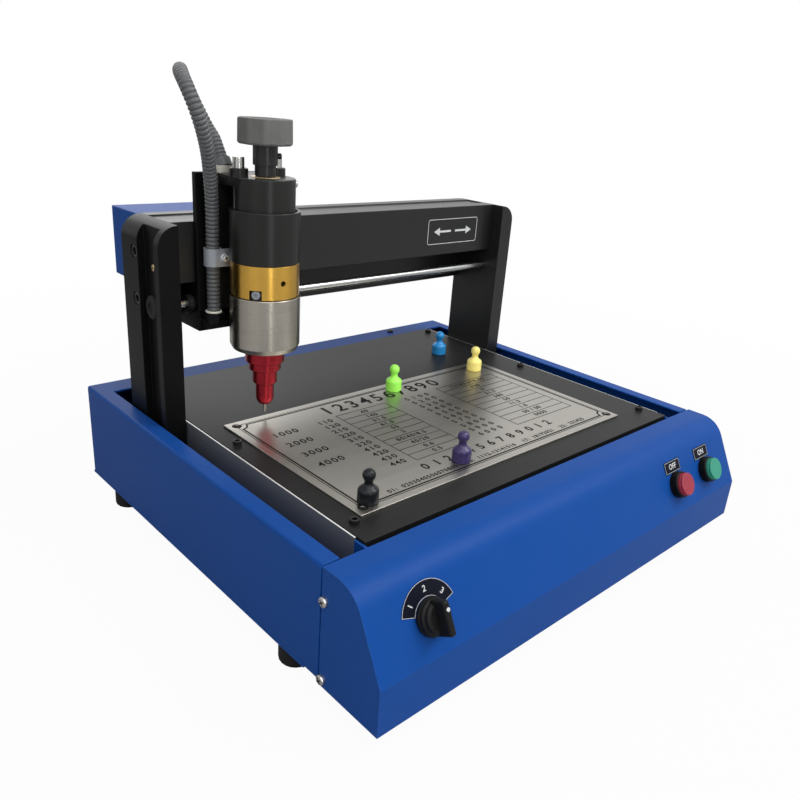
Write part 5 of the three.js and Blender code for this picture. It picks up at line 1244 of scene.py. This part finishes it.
white = (1, 1, 1, 1)
floorForm = {"radius": 6, "segments": 64, "colour": (0.55, 0.55, 0.55, 1), "roughness": 0.9, "specular": 0.1,
             "fade": (0.3, 0.9, 0.96, 1.0)}
worldForm = {"colour": (0.87, 0.87, 0.88, 1), "strength": 0.24}
lampForms = {
    "key": {"place": (640, -720, 1160), "aim": (0, 0, 80), "size": (0.8, 0.8), "power": 13.5},
    "front": {"place": (-350, -640, 1240), "aim": (-60, 0, 120), "size": (0.8, 0.8), "power": 6},
    "strip": {"place": (-365, -1000, 520), "aim": (-102, 42, 300), "size": (0.09, 0.95), "power": 2.2},
    "left": {"place": (-1100, -300, 700), "aim": (-50, 0, 120), "size": (0.7, 0.7), "power": 2.5},
    "back": {"place": (200, 1100, 900), "aim": (0, 50, 150), "size": (0.9, 0.9), "power": 4},
}


def makeFloor(form):
    bm = bmesh.new()
    bmesh.ops.create_circle(bm, cap_ends=True, radius=form["radius"], segments=form["segments"])
    floor = linked("floor", meshOf(bm, "floor"))
    material = bpy.data.materials.new("paleFloor")
    material.use_nodes = True
    tree = material.node_tree
    shader = fillInputs(tree, tree.nodes["Principled BSDF"], {
        "Base Color": form["colour"], "Roughness": form["roughness"],
        "Specular IOR Level": form["specular"]})
    glow = addNode(tree, "Emission", {"Color": white})
    place = addNode(tree, "TexCoord").outputs["Object"]
    away = addNode(tree, "VectorMath", {0: place}, operation="LENGTH").outputs["Value"]
    rays = addNode(tree, "LightPath").outputs
    seen = mathNode(tree, "MAXIMUM", rays["Is Camera Ray"], rays["Is Transmission Ray"])
    share = mathNode(tree, "MULTIPLY", rampNode(tree, away, *form["fade"]), seen)
    mixed = addNode(tree, "MixShader", {0: share, 1: shader.outputs[0], 2: glow.outputs[0]})
    fillInputs(tree, tree.nodes["Material Output"], {"Surface": mixed.outputs[0]})
    floor.data.materials.append(material)


def makeWorld(form):
    world = bpy.data.worlds.new("studio")
    scene.world = world
    world.use_nodes = True
    tree = world.node_tree
    soft = fillInputs(tree, tree.nodes["Background"],
                      {"Color": form["colour"], "Strength": form["strength"]})
    clear = addNode(tree, "Background", {"Color": white})
    rays = addNode(tree, "LightPath").outputs
    mirrored = mathNode(tree, "MAXIMUM", rays["Is Glossy Ray"], rays["Is Transmission Ray"])
    seen = mathNode(tree, "MAXIMUM", rays["Is Camera Ray"], mirrored)
    mixed = addNode(tree, "MixShader", {0: seen, 1: soft.outputs[0], 2: clear.outputs[0]})
    fillInputs(tree, tree.nodes["World Output"], {"Surface": mixed.outputs[0]})


def addLamp(name, form):
    data = bpy.data.lights.new(name, "AREA")
    data.shape = "RECTANGLE"
    data.size, data.size_y = form["size"]
    data.energy = form["power"]
    lamp = linked(name, data)
    lamp.location = at(*form["place"])
    lamp.rotation_euler = (at(*form["aim"]) - lamp.location).to_track_quat("-Z", "Y").to_euler()


makeFloor(floorForm)
makeWorld(worldForm)
for name, form in lampForms.items():
    addLamp(name, form)
